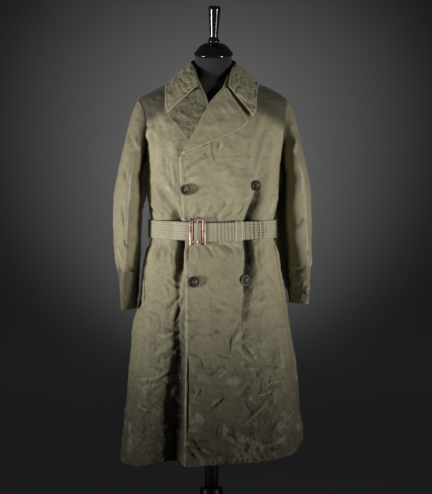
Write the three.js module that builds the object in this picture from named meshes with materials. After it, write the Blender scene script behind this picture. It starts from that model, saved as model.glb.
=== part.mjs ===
// A double-breasted, belted mackintosh, worn on a limbless dress form with a turned stand.
// Millimetres, +Z up, the front faces -Y. The origin is the middle of the stand's foot, on the floor.
// Angles run round the coat in degrees: 0 is the front, 90 the wearer's left side (+X), 180 the back.
import * as THREE from "three";

// ---------------------------------------------------------------- driving sizes
const CLOTH = 2; // wall of the lined shell cloth
const LAYER = 1.3; // air between two layers that lie on each other
const SEAM = 0.4; // gap where two cut edges are sewn together
const HEM = 420; // nominal hem height above the floor
const WAIST = 1049; // middle of the belt
const ARMPIT = 1241;
const SHOULDER = 1418; // height of the shoulder point
const NECK = 1480; // height of the neckline
const BELT = { width: 51, thick: 2.5, first: 2.4, second: 5.6, start: -13, tip: 420.2, sag: 7 };
const BUTTON = { radius: 15.5, thick: 4.6 };
const BUCKLE = { angle: -15.6, width: 43, height: 75, bar: 7.5, thick: 3.2, out: 11.8 };
const FORM_BOTTOM = 790;
const NECK_TOP = { x: 6, y: 2, z: 1541, radius: 50.5, tilt: 14 };

const rad = THREE.MathUtils.degToRad;
const deg = THREE.MathUtils.radToDeg;
const lerp = THREE.MathUtils.lerp;
const clamp = THREE.MathUtils.clamp;
const ramp = (value, from, to) => THREE.MathUtils.smoothstep(value, from, to);

// A smooth curve through one column of a table, with no overshoot between its rows.
function curve(table, at, column) {
  const xs = table.map((row) => row[at]);
  const ys = table.map((row) => row[column]);
  const steps = xs.slice(1).map((x, i) => (ys[i + 1] - ys[i]) / (x - xs[i]));
  const slopes = xs.map((_, i) => {
    const before = steps[Math.max(i - 1, 0)];
    const after = steps[Math.min(i, steps.length - 1)];
    return before * after <= 0 ? 0 : (2 * before * after) / (before + after);
  });
  return (value) => {
    const x = clamp(value, xs[0], xs[xs.length - 1]);
    let i = 0;
    while (i < xs.length - 2 && x > xs[i + 1]) i += 1;
    const span = xs[i + 1] - xs[i];
    const t = (x - xs[i]) / span;
    const rise = (3 - 2 * t) * t * t;
    const ease = t * (1 - t) * span;
    return ys[i] + (ys[i + 1] - ys[i]) * rise + ease * ((1 - t) * slopes[i] - t * slopes[i + 1]);
  };
}

// ---------------------------------------------------------------- the coat's outer surface
// Level sections: how far the cloth reaches to each side, to the front and to the back, and how square it is.
const COAT_RINGS = [
  { z: 380, right: 266, left: 264, front: 217, back: 207, square: 2.1 },
  { z: 508, right: 248, left: 254, front: 205, back: 197, square: 2.1 },
  { z: 599, right: 240, left: 247, front: 196, back: 190, square: 2.1 },
  { z: 690, right: 231, left: 238, front: 186, back: 181, square: 2.15 },
  { z: 780, right: 223, left: 222, front: 175, back: 171, square: 2.2 },
  { z: 848, right: 204, left: 212, front: 166, back: 161, square: 2.2 },
  { z: 917, right: 197, left: 200, front: 157, back: 150, square: 2.25 },
  { z: 974, right: 189, left: 191, front: 148, back: 139, square: 2.3 },
  { z: 1016, right: 174, left: 180, front: 135, back: 121, square: 2.3 },
  { z: 1049, right: 170, left: 176, front: 132, back: 118, square: 2.3 },
  { z: 1079, right: 172, left: 178, front: 134, back: 120, square: 2.3 },
  { z: 1118, right: 178, left: 186, front: 141, back: 127, square: 2.35 },
  { z: 1161, right: 183, left: 192, front: 143, back: 132, square: 2.4 },
  { z: 1212, right: 183, left: 195, front: 142, back: 135, square: 2.4 },
  { z: 1258, right: 186, left: 200, front: 138, back: 136, square: 2.4 },
  { z: 1331, right: 196, left: 215, front: 124, back: 132, square: 2.2 },
  { z: 1374, right: 203, left: 219, front: 110, back: 120, square: 2.1 },
  { z: 1408, right: 207, left: 217, front: 95, back: 103, square: 2 },
  { z: 1419, right: 204, left: 210, front: 90, back: 97, square: 1.95 },
  { z: 1435, right: 176, left: 187, front: 84, back: 87, square: 1.9 },
  { z: 1447, right: 152, left: 164, front: 78, back: 80, square: 1.9 },
  { z: 1462, right: 114, left: 124, front: 70, back: 70, square: 1.95 },
  { z: 1480, right: 59, left: 71, front: 62, back: 61, square: 2 },
];
const reachOf = Object.fromEntries(
  ["right", "left", "front", "back", "square"].map((key) => [key, curve(COAT_RINGS, "z", key)]),
);

// How far the smooth section stands from the coat's axis, at an angle and a height.
function reach(angle, z) {
  const side = Math.sin(rad(angle));
  const ahead = Math.cos(rad(angle));
  const across = Math.abs(side) / (side > 0 ? reachOf.left(z) : reachOf.right(z));
  const along = Math.abs(ahead) / (ahead > 0 ? reachOf.front(z) : reachOf.back(z));
  const power = reachOf.square(z);
  return (across ** power + along ** power) ** (-1 / power);
}

// The largest folds: troughs (negative) and ridges in the cloth, each down a slanting line, with its own
// breadth on either side. "under" marks the wearer's right front, which passes beneath the left one.
const FOLDS = [
  { name: "left waist fold, above", top: 1330, from: 62, bottom: 1062, to: 42, wide: [13, 20], deep: -19, fade: [150, 12] },
  { name: "left waist fold, below", top: 1036, from: 39.5, bottom: 770, to: 35, wide: [13, 22], deep: -20, fade: [12, 190] },
  { name: "left skirt swell", top: 960, from: 56, bottom: 400, to: 58, wide: [60, 50], deep: 9, fade: [170, 10] },
  { name: "right waist fold, above", top: 1220, from: -56, bottom: 1062, to: -39, wide: [22, 14], deep: -15, fade: [120, 12] },
  { name: "right waist fold, below", top: 1036, from: -37, bottom: 860, to: -31, wide: [18, 12], deep: -15, fade: [12, 110] },
  { name: "right skirt pleat", top: 960, from: -27, bottom: 380, to: -33, wide: [30, 40], deep: -46, fade: [430, 1], under: true },
  { name: "right skirt swell", top: 900, from: -52, bottom: 380, to: -50, wide: [46, 30], deep: 11, fade: [300, 1] },
  { name: "right armhole fold", top: 1370, from: -68, bottom: 1270, to: -62, wide: [12, 14], deep: -7, fade: [40, 40] },
  { name: "back skirt fold, left", top: 930, from: 150, bottom: 380, to: 142, wide: [40, 40], deep: -20, fade: [330, 1] },
  { name: "back skirt fold, right", top: 930, from: 208, bottom: 380, to: 220, wide: [40, 40], deep: -18, fade: [300, 1] },
  { name: "back skirt swell", top: 900, from: 180, bottom: 380, to: 182, wide: [60, 60], deep: 12, fade: [300, 1] },
  { name: "back blouse fold, left", top: 1240, from: 138, bottom: 1062, to: 150, wide: [20, 20], deep: -9, fade: [130, 12] },
  { name: "back blouse fold, right", top: 1230, from: 224, bottom: 1062, to: 210, wide: [20, 20], deep: -9, fade: [120, 12] },
];

function foldDepth(angle, z, under) {
  let total = 0;
  for (const fold of FOLDS) {
    if (fold.under && !under) continue;
    const along = (fold.top - z) / (fold.top - fold.bottom);
    if (along < 0 || along > 1) continue;
    let off = angle - lerp(fold.from, fold.to, along);
    off -= 360 * Math.round(off / 360);
    const arc = rad(off) * reach(angle, z);
    const across = Math.exp(-((arc / (arc < 0 ? fold.wide[0] : fold.wide[1])) ** 2));
    const ends = ramp(fold.top - z, 0, fold.fade[0]) * ramp(z - fold.bottom, 0, fold.fade[1]);
    total += fold.deep * across * (fold.fade[1] === 1 ? ramp(fold.top - z, 0, fold.fade[0]) : ends);
  }
  return total;
}

function skin(angle, z, under) {
  const r = reach(angle, z) + foldDepth(angle, z, under);
  return new THREE.Vector3(r * Math.sin(rad(angle)), -r * Math.cos(rad(angle)), z);
}

// A point of the coat's surface, moved outwards along the surface's own normal.
function onCoat(angle, z, out = 0, under = false) {
  const point = skin(angle, z, under);
  const turn = 1;
  const climb = 3;
  const round = skin(angle + turn, z, under).sub(skin(angle - turn, z, under));
  const up = skin(angle, Math.min(z + climb, NECK), under).sub(skin(angle, z - climb, under));
  return point.addScaledVector(round.cross(up).normalize(), out);
}

// The angle at which the front of the smooth section has a given x.
function angleAt(x, z) {
  let low = -90;
  let high = 90;
  for (let i = 0; i < 30; i += 1) {
    const middle = (low + high) / 2;
    if (reach(middle, z) * Math.sin(rad(middle)) < x) low = middle;
    else high = middle;
  }
  return low;
}

// ---------------------------------------------------------------- closed walls from grids of points
const material = (colour, roughness = 0.8, metalness = 0) =>
  new THREE.MeshStandardMaterial({ color: colour, roughness, metalness });
const OLIVE = material(0x6e6a4c, 0.72);
const OLIVE_WEB = material(0x85805f, 0.8);
const HORN = material(0x33261c, 0.35);
const COPPER = material(0x9a6a52, 0.4, 0.7);
const BLACK_JERSEY = material(0x1b1b20, 0.95);
const BLACK_GLOSS = material(0x0b0b0c, 0.15);
const BLACK_IRON = material(0x101012, 0.45, 0.4);

const coat = new THREE.Group();

function meshOf(name, geometry, look) {
  const mesh = new THREE.Mesh(geometry, look);
  mesh.name = name;
  coat.add(mesh);
  return mesh;
}

function volumeOf(points, faces) {
  return faces.reduce((sum, [a, b, c]) => {
    const normal = new THREE.Vector3().crossVectors(points[b], points[c]);
    return sum + points[a].dot(normal) / 6;
  }, 0);
}

function solid(points, faces) {
  const outwards = volumeOf(points, faces) > 0;
  const geometry = new THREE.BufferGeometry().setFromPoints(points);
  geometry.setIndex(faces.flatMap(([a, b, c]) => (outwards ? [a, b, c] : [a, c, b])));
  geometry.computeVertexNormals();
  return geometry;
}

// One closed wall between two grids of points. Where it is looped, each row's last point joins its first.
function wall(outer, inner, looped = false) {
  const rows = outer.length;
  const columns = outer[0].length;
  const points = [...outer.flat(), ...inner.flat()];
  const back = rows * columns;
  const at = (row, column, side) => side * back + row * columns + (column % columns);
  const faces = [];
  const quad = (a, b, c, d) => faces.push([a, b, c], [a, c, d]);
  const across = looped ? columns : columns - 1;
  for (let row = 0; row < rows - 1; row += 1) {
    for (let column = 0; column < across; column += 1) {
      quad(at(row, column, 0), at(row, column + 1, 0), at(row + 1, column + 1, 0), at(row + 1, column, 0));
      quad(at(row, column, 1), at(row + 1, column, 1), at(row + 1, column + 1, 1), at(row, column + 1, 1));
    }
  }
  for (let column = 0; column < across; column += 1) {
    quad(at(0, column, 0), at(0, column, 1), at(0, column + 1, 1), at(0, column + 1, 0));
    const top = rows - 1;
    quad(at(top, column, 0), at(top, column + 1, 0), at(top, column + 1, 1), at(top, column, 1));
  }
  if (!looped) {
    for (let row = 0; row < rows - 1; row += 1) {
      const end = columns - 1;
      quad(at(row, 0, 0), at(row + 1, 0, 0), at(row + 1, 0, 1), at(row, 0, 1));
      quad(at(row, end, 0), at(row, end, 1), at(row + 1, end, 1), at(row + 1, end, 0));
    }
  }
  return solid(points, faces);
}

// A grid moved inwards along its own normals.
function inset(grid, thick, looped = false) {
  const rows = grid.length;
  const columns = grid[0].length;
  return grid.map((line, row) =>
    line.map((point, column) => {
      const next = looped ? (column + 1) % columns : Math.min(column + 1, columns - 1);
      const last = looped ? (column + columns - 1) % columns : Math.max(column - 1, 0);
      const round = line[next].clone().sub(line[last]);
      const up = grid[Math.min(row + 1, rows - 1)][column].clone().sub(grid[Math.max(row - 1, 0)][column]);
      return point.clone().addScaledVector(round.cross(up).normalize(), -thick);
    }),
  );
}

const count = (n) => Array.from({ length: n + 1 }, (_, i) => i / n);

// ---------------------------------------------------------------- the cut edges of the body
// The hem, by angle: it dips to the front edges and rides up on the wearer's left.
const HEM_LINE = [
  { angle: -180, z: 430 },
  { angle: -135, z: 415 },
  { angle: -90, z: 403 },
  { angle: -60, z: 397 },
  { angle: -36, z: 417 },
  { angle: -20, z: 411 },
  { angle: 0, z: 416 },
  { angle: 35, z: 420 },
  { angle: 60, z: 430 },
  { angle: 90, z: 455 },
  { angle: 135, z: 446 },
  { angle: 180, z: 430 },
];
const hemAt = curve(HEM_LINE, "angle", "z");
const HEM_FADES = 760; // above this the rows are level

function rowHeight(z, angle) {
  if (z >= HEM_FADES) return z;
  const turned = angle - 360 * Math.round(angle / 360);
  return lerp(hemAt(turned), HEM_FADES, (z - HEM) / (HEM_FADES - HEM));
}

// The wearer's left front edge, then from the break (the widest row) the lapel's roll line.
const LEFT_EDGE = [
  { z: 400, x: -73 },
  { z: 557, x: -71 },
  { z: 740, x: -69 },
  { z: 906, x: -70 },
  { z: 1017, x: -77 },
  { z: 1081, x: -78 },
  { z: 1177, x: -84 },
  { z: 1243, x: -87 },
  { z: 1268, x: -78 },
  { z: 1301, x: -59 },
  { z: 1342, x: -38 },
  { z: 1375, x: -19 },
  { z: 1401, x: -5 },
  { z: 1424, x: 13 },
  { z: 1448, x: 33 },
  { z: 1480, x: 46 },
];
// The wearer's right front edge runs hidden under the left one, and shows from the foot of the neck's V.
const RIGHT_EDGE = [
  { z: 400, x: 74 },
  { z: 1150, x: 74 },
  { z: 1200, x: 40 },
  { z: 1240, x: 10 },
  { z: 1290, x: 3 },
  { z: 1345, x: 4 },
  { z: 1402, x: -6 },
  { z: 1430, x: -19 },
  { z: 1449, x: -28 },
  { z: 1480, x: -42 },
];
const leftEdgeX = curve(LEFT_EDGE, "z", "x");
const rightEdgeX = curve(RIGHT_EDGE, "z", "x");

// Each armhole is an oval round the side: how far it reaches forwards and backwards from the side seam.
const ARMHOLE = { middle: (ARMPIT + SHOULDER) / 2, half: (SHOULDER - ARMPIT) / 2 };
const ARMHOLE_REACH = {
  left: { forward: 13, backward: 27 },
  right: { forward: 16, backward: 27 },
};

function armholeReach(z, most) {
  const off = (z - ARMHOLE.middle) / ARMHOLE.half;
  return Math.abs(off) >= 1 ? 0 : most * Math.sqrt(1 - off * off);
}
const seamTurn = (z) => deg(SEAM / 2 / reach(90, z)); // half a seam's gap, as an angle

// Row heights: wide apart in the skirt, close at the belt, and even round the armhole's oval.
const SKIRT_ROWS = [420, 465, 520, 580, 640, 700, 760, 825, 880, 930, 970, 1000];
const WAIST_ROWS = [1020, 1049, 1078, 1102, 1135, 1172, 1208];
const ARMHOLE_ROWS = count(8).map((t) => ARMHOLE.middle - ARMHOLE.half * Math.cos(Math.PI * t));
const SHOULDER_ROWS = [1427, 1438, 1450, 1464, NECK];
const BODY_ROWS = [...SKIRT_ROWS, ...WAIST_ROWS, ...ARMHOLE_ROWS, ...SHOULDER_ROWS];

// How far the right front is tucked in, where the left front, and higher up a lapel, lie over it.
function tuckIn(angle, z) {
  const over = angleAt(leftEdgeX(z), z);
  const depth = lerp(CLOTH + LAYER + 0.7, 2 * (CLOTH + LAYER) + 0.6, ramp(z, 1110, 1200));
  return -depth * ramp(angle, over - 36, over - 8);
}

// Where each panel's columns lie, as shares of its breadth: close together across its folds.
const COLUMNS = {
  front_left: [0, 0.05, 0.11, 0.19, 0.27, 0.36, 0.44, 0.5, 0.54, 0.58, 0.62, 0.66, 0.7, 0.75, 0.81, 0.87, 0.94, 1],
  front_right: [0, 0.1, 0.2, 0.28, 0.34, 0.39, 0.43, 0.47, 0.51, 0.55, 0.6, 0.66, 0.74, 0.83, 0.92, 1],
  back: [0, 0.07, 0.14, 0.2, 0.25, 0.3, 0.35, 0.42, 0.5, 0.58, 0.65, 0.7, 0.75, 0.8, 0.86, 0.93, 1],
};

function bodyPanel(name, from, to, outAt, under) {
  const grid = (depth) =>
    BODY_ROWS.map((z) =>
      COLUMNS[name].map((t) => {
        const angle = lerp(from(z), to(z), t);
        return onCoat(angle, rowHeight(z, angle), outAt(angle, z) - depth, under);
      }),
    );
  meshOf(name, wall(grid(0), grid(CLOTH)), OLIVE);
}

const flush = () => 0;
bodyPanel(
  "front_left",
  (z) => angleAt(leftEdgeX(z), z),
  (z) => 90 - seamTurn(z) - armholeReach(z, ARMHOLE_REACH.left.forward),
  flush,
  false,
);
bodyPanel(
  "front_right",
  (z) => -90 + seamTurn(z) + armholeReach(z, ARMHOLE_REACH.right.forward),
  (z) => angleAt(rightEdgeX(z), z),
  tuckIn,
  true,
);
bodyPanel(
  "back",
  (z) => 90 + seamTurn(z) + armholeReach(z, ARMHOLE_REACH.left.backward),
  (z) => 270 - seamTurn(z) - armholeReach(z, ARMHOLE_REACH.right.backward),
  flush,
  false,
);

// ---------------------------------------------------------------- lapels
// Each row runs from the roll line out to the lapel's cut edge. The left lapel's corner shows whole;
// the right one's is under the collar.
const LEFT_LAPEL = [
  { roll: 1264, x: -74, z: 1262 },
  { roll: 1290, x: -32, z: 1279 },
  { roll: 1318, x: 27, z: 1305 },
  { roll: 1346, x: 66, z: 1322 },
  { roll: 1366, x: 90, z: 1336 },
  { roll: 1380, x: 98, z: 1350 },
  { roll: 1396, x: 92, z: 1365 },
  { roll: 1420, x: 68, z: 1402 },
  { roll: 1446, x: 44, z: 1441 },
];
const RIGHT_LAPEL = [
  { roll: 1240, x: 0, z: 1236 },
  { roll: 1280, x: -37, z: 1267 },
  { roll: 1318, x: -66, z: 1300 },
  { roll: 1358, x: -93, z: 1334 },
  { roll: 1394, x: -116, z: 1367 },
  { roll: 1422, x: -98, z: 1394 },
  { roll: 1440, x: -58, z: 1430 },
];

function lapel(name, table, rollX, outAt, air, under) {
  const across = 7;
  const grid = (depth) =>
    table.map((row) =>
      count(across).map((t) => {
        const z = lerp(row.roll, row.z, t);
        const angle = angleAt(lerp(rollX(row.roll) + 1, row.x, t), z);
        return onCoat(angle, z, outAt(angle, z) + air + CLOTH - depth, under);
      }),
    );
  meshOf(name, wall(grid(0), grid(CLOTH)), OLIVE);
}
lapel("lapel_left", LEFT_LAPEL, leftEdgeX, flush, LAYER, false);
lapel("lapel_right", RIGHT_LAPEL, (z) => rightEdgeX(z) - 2, tuckIn, LAYER + 0.8, true);

// ---------------------------------------------------------------- collar
// Stations from the wearer's right front end round the back to the left front end: the fold that stands
// round the neck, and the outer edge, which lies on the shoulders at an angle or an x, and a height.
const COLLAR = [
  { fold: [-38, -86, 1450], edge: { x: -119, z: 1371 } },
  { fold: [-41, -70, 1472], edge: { x: -125, z: 1392 } },
  { fold: [-47, -46, 1496], edge: { x: -126, z: 1417 } },
  { fold: [-53, -20, 1513], edge: { x: -127, z: 1438 } },
  { fold: [-57, 6, 1522], edge: { angle: -94, z: 1455 } },
  { fold: [-51, 34, 1529], edge: { angle: -120, z: 1441 } },
  { fold: [-34, 57, 1533], edge: { angle: -148, z: 1428 } },
  { fold: [5, 68, 1535], edge: { angle: -180, z: 1422 } },
  { fold: [44, 57, 1533], edge: { angle: -211, z: 1428 } },
  { fold: [61, 34, 1529], edge: { angle: -239, z: 1441 } },
  { fold: [67, 6, 1522], edge: { angle: -266, z: 1455 } },
  { fold: [64, -20, 1512], edge: { x: 127, z: 1440 } },
  { fold: [57, -46, 1495], edge: { x: 123, z: 1414 } },
  { fold: [51, -68, 1470], edge: { x: 122, z: 1385 } },
  { fold: [48, -82, 1449], edge: { x: 113, z: 1361 } },
];
const NECK_SEAM = { from: -42, to: -312 }; // round the back, from the right side to the left
const COLLAR_MIDDLE = 5; // x of the collar's plane of symmetry

// The fall lies on the coat, and at its two ends on the lapels. The way along the collar runs from 0 to 1.
function collarLift(way) {
  const overLapel = 1 - ramp(Math.min(way, 1 - way), 0.08, 0.24);
  return LAYER + overLapel * (LAYER + CLOTH + 0.3);
}

// Keeps a point at least so far outside the coat, moving it straight out from the coat's axis.
function clearOf(point, out) {
  if (point.z > NECK) return point;
  const angle = deg(Math.atan2(point.x, -point.y));
  const surface = skin(angle, point.z, false);
  const away = new THREE.Vector3(point.x, point.y, 0).normalize();
  const normal = onCoat(angle, point.z, 1).sub(onCoat(angle, point.z, 0));
  const least = Math.hypot(surface.x, surface.y) + out / Math.max(0.36, normal.dot(away));
  const far = Math.hypot(point.x, point.y);
  return far >= least ? point : point.clone().addScaledVector(away, least - far);
}

function collarStations() {
  return COLLAR.map(({ fold, edge }, i) => ({
    fold: new THREE.Vector3(...fold),
    edge: onCoat(edge.angle ?? angleAt(edge.x, edge.z), edge.z, collarLift(i / (COLLAR.length - 1)) + CLOTH),
  }));
}

function addCollar() {
  const stations = collarStations();
  const between = (key, t) => {
    const places = stations.map((s) => s[key]);
    return new THREE.CatmullRomCurve3(places, false, "centripetal").getPoint(t);
  };
  const alongCollar = count(30);
  const inward = (v) => new THREE.Vector3(COLLAR_MIDDLE - v.x, -v.y, 0).normalize();
  const fall = [0, 0.12, 0.3, 0.55, 0.8, 1].map((t) =>
    alongCollar.map((u) => {
      const fold = between("fold", u);
      const edge = between("edge", u);
      const swell = Math.sin(Math.PI * Math.sqrt(t)) * 3 * ramp(Math.min(u, 1 - u), 0, 0.15);
      const point = fold.clone().lerp(edge, t).addScaledVector(inward(fold), -swell);
      return clearOf(point, t > 0 ? collarLift(u) + CLOTH : 0);
    }),
  );
  const under = inset(fall, -CLOTH).map((line) => line.map((p) => p));
  meshOf("collar_fall", wall(fall, under), OLIVE);
  // The stand rises from the neck seam behind the fold, and runs out to nothing at the front.
  const stand = [0, 0.5, 1].map((t) =>
    alongCollar.map((u) => {
      const angle = lerp(NECK_SEAM.from, NECK_SEAM.to, u);
      const seam = onCoat(angle, NECK).setZ(NECK + SEAM);
      const fold = between("fold", lerp(0.22, 0.78, u));
      const top = fold.addScaledVector(inward(fold), 4.5).setZ(fold.z - 3.5);
      return seam.lerp(top, t);
    }),
  );
  meshOf("collar_stand", wall(stand, inset(stand, -1.4)), OLIVE);
}
addCollar();

// ---------------------------------------------------------------- sleeves
// Level sections below the biceps: the outer and inner side, the crease that faces forwards, the depth,
// and how far the back edge curls in behind the coat.
const SLEEVES = {
  right: [
    { z: 826, outer: 256, inner: 213, crease: 250, front: -72, back: 66, curl: 4 },
    { z: 870, outer: 259, inner: 208, crease: 249, front: -76, back: 70, curl: 8 },
    { z: 905, outer: 263, inner: 205, crease: 247, front: -78, back: 72, curl: 12 },
    { z: 950, outer: 271, inner: 203, crease: 243, front: -80, back: 75, curl: 14 },
    { z: 1005, outer: 277, inner: 200, crease: 238, front: -82, back: 78, curl: 14 },
    { z: 1076, outer: 280, inner: 198, crease: 234, front: -85, back: 82, curl: 16 },
    { z: 1140, outer: 278, inner: 196, crease: 230, front: -88, back: 84, curl: 36 },
    { z: 1200, outer: 268, inner: 196, crease: 225, front: -88, back: 86, curl: 42 },
  ],
  left: [
    { z: 843, outer: 274, inner: 221, crease: 266, front: -72, back: 66, curl: 24 },
    { z: 880, outer: 278, inner: 221, crease: 268, front: -76, back: 70, curl: 44 },
    { z: 915, outer: 280, inner: 220, crease: 270, front: -78, back: 72, curl: 60 },
    { z: 955, outer: 282, inner: 219, crease: 271, front: -80, back: 75, curl: 68 },
    { z: 1005, outer: 284, inner: 217, crease: 270, front: -82, back: 78, curl: 82 },
    { z: 1076, outer: 284, inner: 212, crease: 266, front: -85, back: 82, curl: 84 },
    { z: 1140, outer: 282, inner: 210, crease: 263, front: -88, back: 84, curl: 76 },
    { z: 1200, outer: 275, inner: 210, crease: 257, front: -88, back: 86, curl: 54 },
  ],
};
const BICEPS = 1200;
const CREASED = 1.16; // over 1 draws the section to an edge at the crease
const CAP_ROWS = [0, 0.05, 0.14, 0.28, 0.45, 0.62, 0.8, 1];
const ARM_ROWS = [0.12, 0.26, 0.4, 0.54, 0.67, 0.79, 0.9, 1];

function sleeveSurface(side) {
  const table = SLEEVES[side];
  const sign = side === "left" ? 1 : -1;
  const column = Object.fromEntries(
    ["outer", "inner", "crease", "front", "back", "curl"].map((key) => [key, curve(table, "z", key)]),
  );
  const power = (value) => Math.sign(value) * Math.abs(value) ** CREASED;
  // turn: 0 is the outer side, 90 the front, 180 the side next to the coat.
  const section = (turn, z) => {
    const sideways = power(Math.cos(rad(turn)));
    const forwards = power(Math.sin(rad(turn)));
    const crease = column.crease(z);
    const breadth = sideways > 0 ? column.outer(z) - crease : crease - column.inner(z);
    const x = crease + breadth * sideways - (forwards < 0 ? column.curl(z) * forwards ** 2 : 0);
    const y = forwards > 0 ? column.front(z) * forwards : -column.back(z) * forwards;
    return new THREE.Vector3(sign * x, y, z);
  };
  // The cap is set into the armhole, a little inside its edge, and turns down to the biceps.
  const armhole = (turn) => {
    const forwards = Math.sin(rad(turn));
    const z = ARMHOLE.middle + (ARMHOLE.half - 3.6) * Math.cos(rad(turn));
    const { forward, backward } = ARMHOLE_REACH[side];
    const swing = forwards * ((forwards > 0 ? forward : backward) - 1.4);
    return onCoat(sign * (90 - swing), z, -CLOTH / 2, false);
  };
  const cuff = table[0].z;
  const at = (turn, along) => {
    if (along >= 1) return section(turn, lerp(BICEPS, cuff, along - 1));
    const start = armhole(turn);
    const end = section(turn, BICEPS);
    const gap = start.distanceTo(end);
    const leave = start.clone().add(new THREE.Vector3(sign * (3 + 0.085 * gap), 0, -0.05 * gap));
    const arrive = end.clone().add(new THREE.Vector3(-sign * 0.105 * gap, 0, 0.41 * gap));
    return new THREE.CubicBezierCurve3(start, leave, arrive, end).getPoint(along);
  };
  return { at, cuff, sign };
}

function addSleeve(side) {
  const { at } = sleeveSurface(side);
  const turns = count(20).slice(0, 20).map((t) => 360 * t);
  const rows = [...CAP_ROWS, ...ARM_ROWS.map((t) => 1 + t)];
  const outer = rows.map((along) => turns.map((turn) => at(turn, along)));
  const facing = side === "left" ? -1 : 1;
  meshOf(`sleeve_${side}`, wall(outer, inset(outer, facing * CLOTH, true), true), OLIVE);
}

// The stitched patch on the inner front of each cuff, which closes the sleeve's vent.
const CUFF_PATCH = { height: 104, from: 91, to: 162, thick: 1.4, air: 1.4 };

function addCuffPatch(side) {
  const { at, cuff, sign } = sleeveSurface(side);
  const span = CUFF_PATCH.height / (BICEPS - cuff);
  const grid = count(4).map((v) =>
    count(4).map((u) => at(lerp(CUFF_PATCH.from, CUFF_PATCH.to, u), 2 - span * v)),
  );
  const air = inset(grid, -sign * CUFF_PATCH.air);
  const face = inset(grid, -sign * (CUFF_PATCH.air + CUFF_PATCH.thick));
  meshOf(`cuff_patch_${side}`, wall(face, air), OLIVE);
}

for (const side of ["left", "right"]) {
  addSleeve(side);
  addCuffPatch(side);
}

// ---------------------------------------------------------------- pocket welts
// A slanting welt at each side, just below the belt.
const WELT = { width: 24, thick: 1.8, air: 2 };
const POCKETS = {
  right: { top: 1000, topAngle: -80, bottom: 850, bottomAngle: -71 },
  left: { top: 1002, topAngle: 79, bottom: 852, bottomAngle: 77 },
};

function addWelt(side) {
  const pocket = POCKETS[side];
  const grid = (out) =>
    count(8).map((v) =>
      count(2).map((u) => {
        const z = lerp(pocket.bottom, pocket.top, v);
        const angle = lerp(pocket.bottomAngle, pocket.topAngle, v);
        const across = deg(((u - 0.5) * WELT.width) / reach(angle, z));
        return onCoat(angle + across, z, out, side === "right");
      }),
    );
  meshOf(`pocket_welt_${side}`, wall(grid(WELT.air + WELT.thick), grid(WELT.air)), OLIVE);
}
addWelt("left");
addWelt("right");

// ---------------------------------------------------------------- belt
// One strap: from behind the buckle's bar it goes round the wearer's left side and back, comes to the
// front again, rises over the bar, and its tip lies on the first turn.
const beltMiddle = (angle) => {
  const turned = angle - 360 * Math.round(angle / 360);
  return WAIST + 3 - BELT.sag * Math.exp(-((turned / 48) ** 2));
};

function onBelt(angle, off, out) {
  const z = beltMiddle(angle) + off;
  const smooth = (a) => {
    const r = reach(a, WAIST);
    return new THREE.Vector3(r * Math.sin(rad(a)), -r * Math.cos(rad(a)), z);
  };
  const round = smooth(angle + 1).sub(smooth(angle - 1)).normalize();
  return smooth(angle).addScaledVector(new THREE.Vector3(round.y, -round.x, 0), out);
}

const BELT_CLEAR = 3; // the coat swells this much above and below the middle of the belt

function beltOut(angle) {
  const bar = 360 + BUCKLE.angle;
  const second = ramp(angle, bar - 26, bar + 8);
  const hump = Math.abs(angle - bar) < 5.8 ? Math.cos((Math.PI * (angle - bar)) / 11.6) ** 2 : 0;
  const rest = lerp(BELT.first, BELT.second, second);
  return BELT_CLEAR + lerp(rest, BUCKLE.out + BUCKLE.thick + 0.8 - BELT_CLEAR, hump);
}

function beltHalf(angle) {
  const fromTip = rad(BELT.tip - angle) * reach(60, WAIST);
  const round = 22; // length of the rounded tip
  return (BELT.width / 2) * (fromTip < round ? Math.sqrt(1 - (1 - Math.max(fromTip, 0.6) / round) ** 2) : 1);
}

function addBelt() {
  const bar = 360 + BUCKLE.angle;
  const stops = [];
  for (let a = BELT.start; a < bar - 27; a += 8) stops.push(a);
  for (let a = bar - 26; a < bar - 8; a += 3) stops.push(a);
  for (let a = bar - 8; a < bar + 9; a += 1.25) stops.push(a);
  for (let a = bar + 11; a < BELT.tip - 9; a += 5) stops.push(a);
  for (const back of [8, 6, 4.2, 2.6, 1.4, 0.6, 0]) stops.push(BELT.tip - back);
  const grid = (extra) =>
    count(2).map((v) => stops.map((a) => onBelt(a, (2 * v - 1) * beltHalf(a), beltOut(a) + extra)));
  meshOf("belt", wall(grid(BELT.thick), grid(0)), OLIVE_WEB);
}
addBelt();

// The keeper holds the tip: a closed loop of cloth round both turns.
const KEEPER = { from: 26.9, to: 34.3, wall: 1.2 };

function addKeeper() {
  const half = BELT.width / 2;
  const loop = (angle, grow) => {
    const low = BELT_CLEAR + BELT.first - 0.5 - grow;
    const high = BELT_CLEAR + BELT.second + BELT.thick + 0.7 + grow;
    const edge = half + 0.8 + grow;
    const corners = [[low, -edge], [low, 0], [low, edge], [high, edge], [high, 0], [high, -edge]];
    return corners.map(([out, off]) => onBelt(angle, off, out));
  };
  const angles = count(4).map((t) => lerp(KEEPER.from, KEEPER.to, t));
  meshOf(
    "belt_keeper",
    wall(angles.map((a) => loop(a, KEEPER.wall)), angles.map((a) => loop(a, 0)), true),
    OLIVE_WEB,
  );
}
addKeeper();

// Belt loops at the side seams: a strip sewn down above and below the belt.
const LOOP = { width: 12, wall: 1.5, reach: 44, air: 0.8 };

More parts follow.
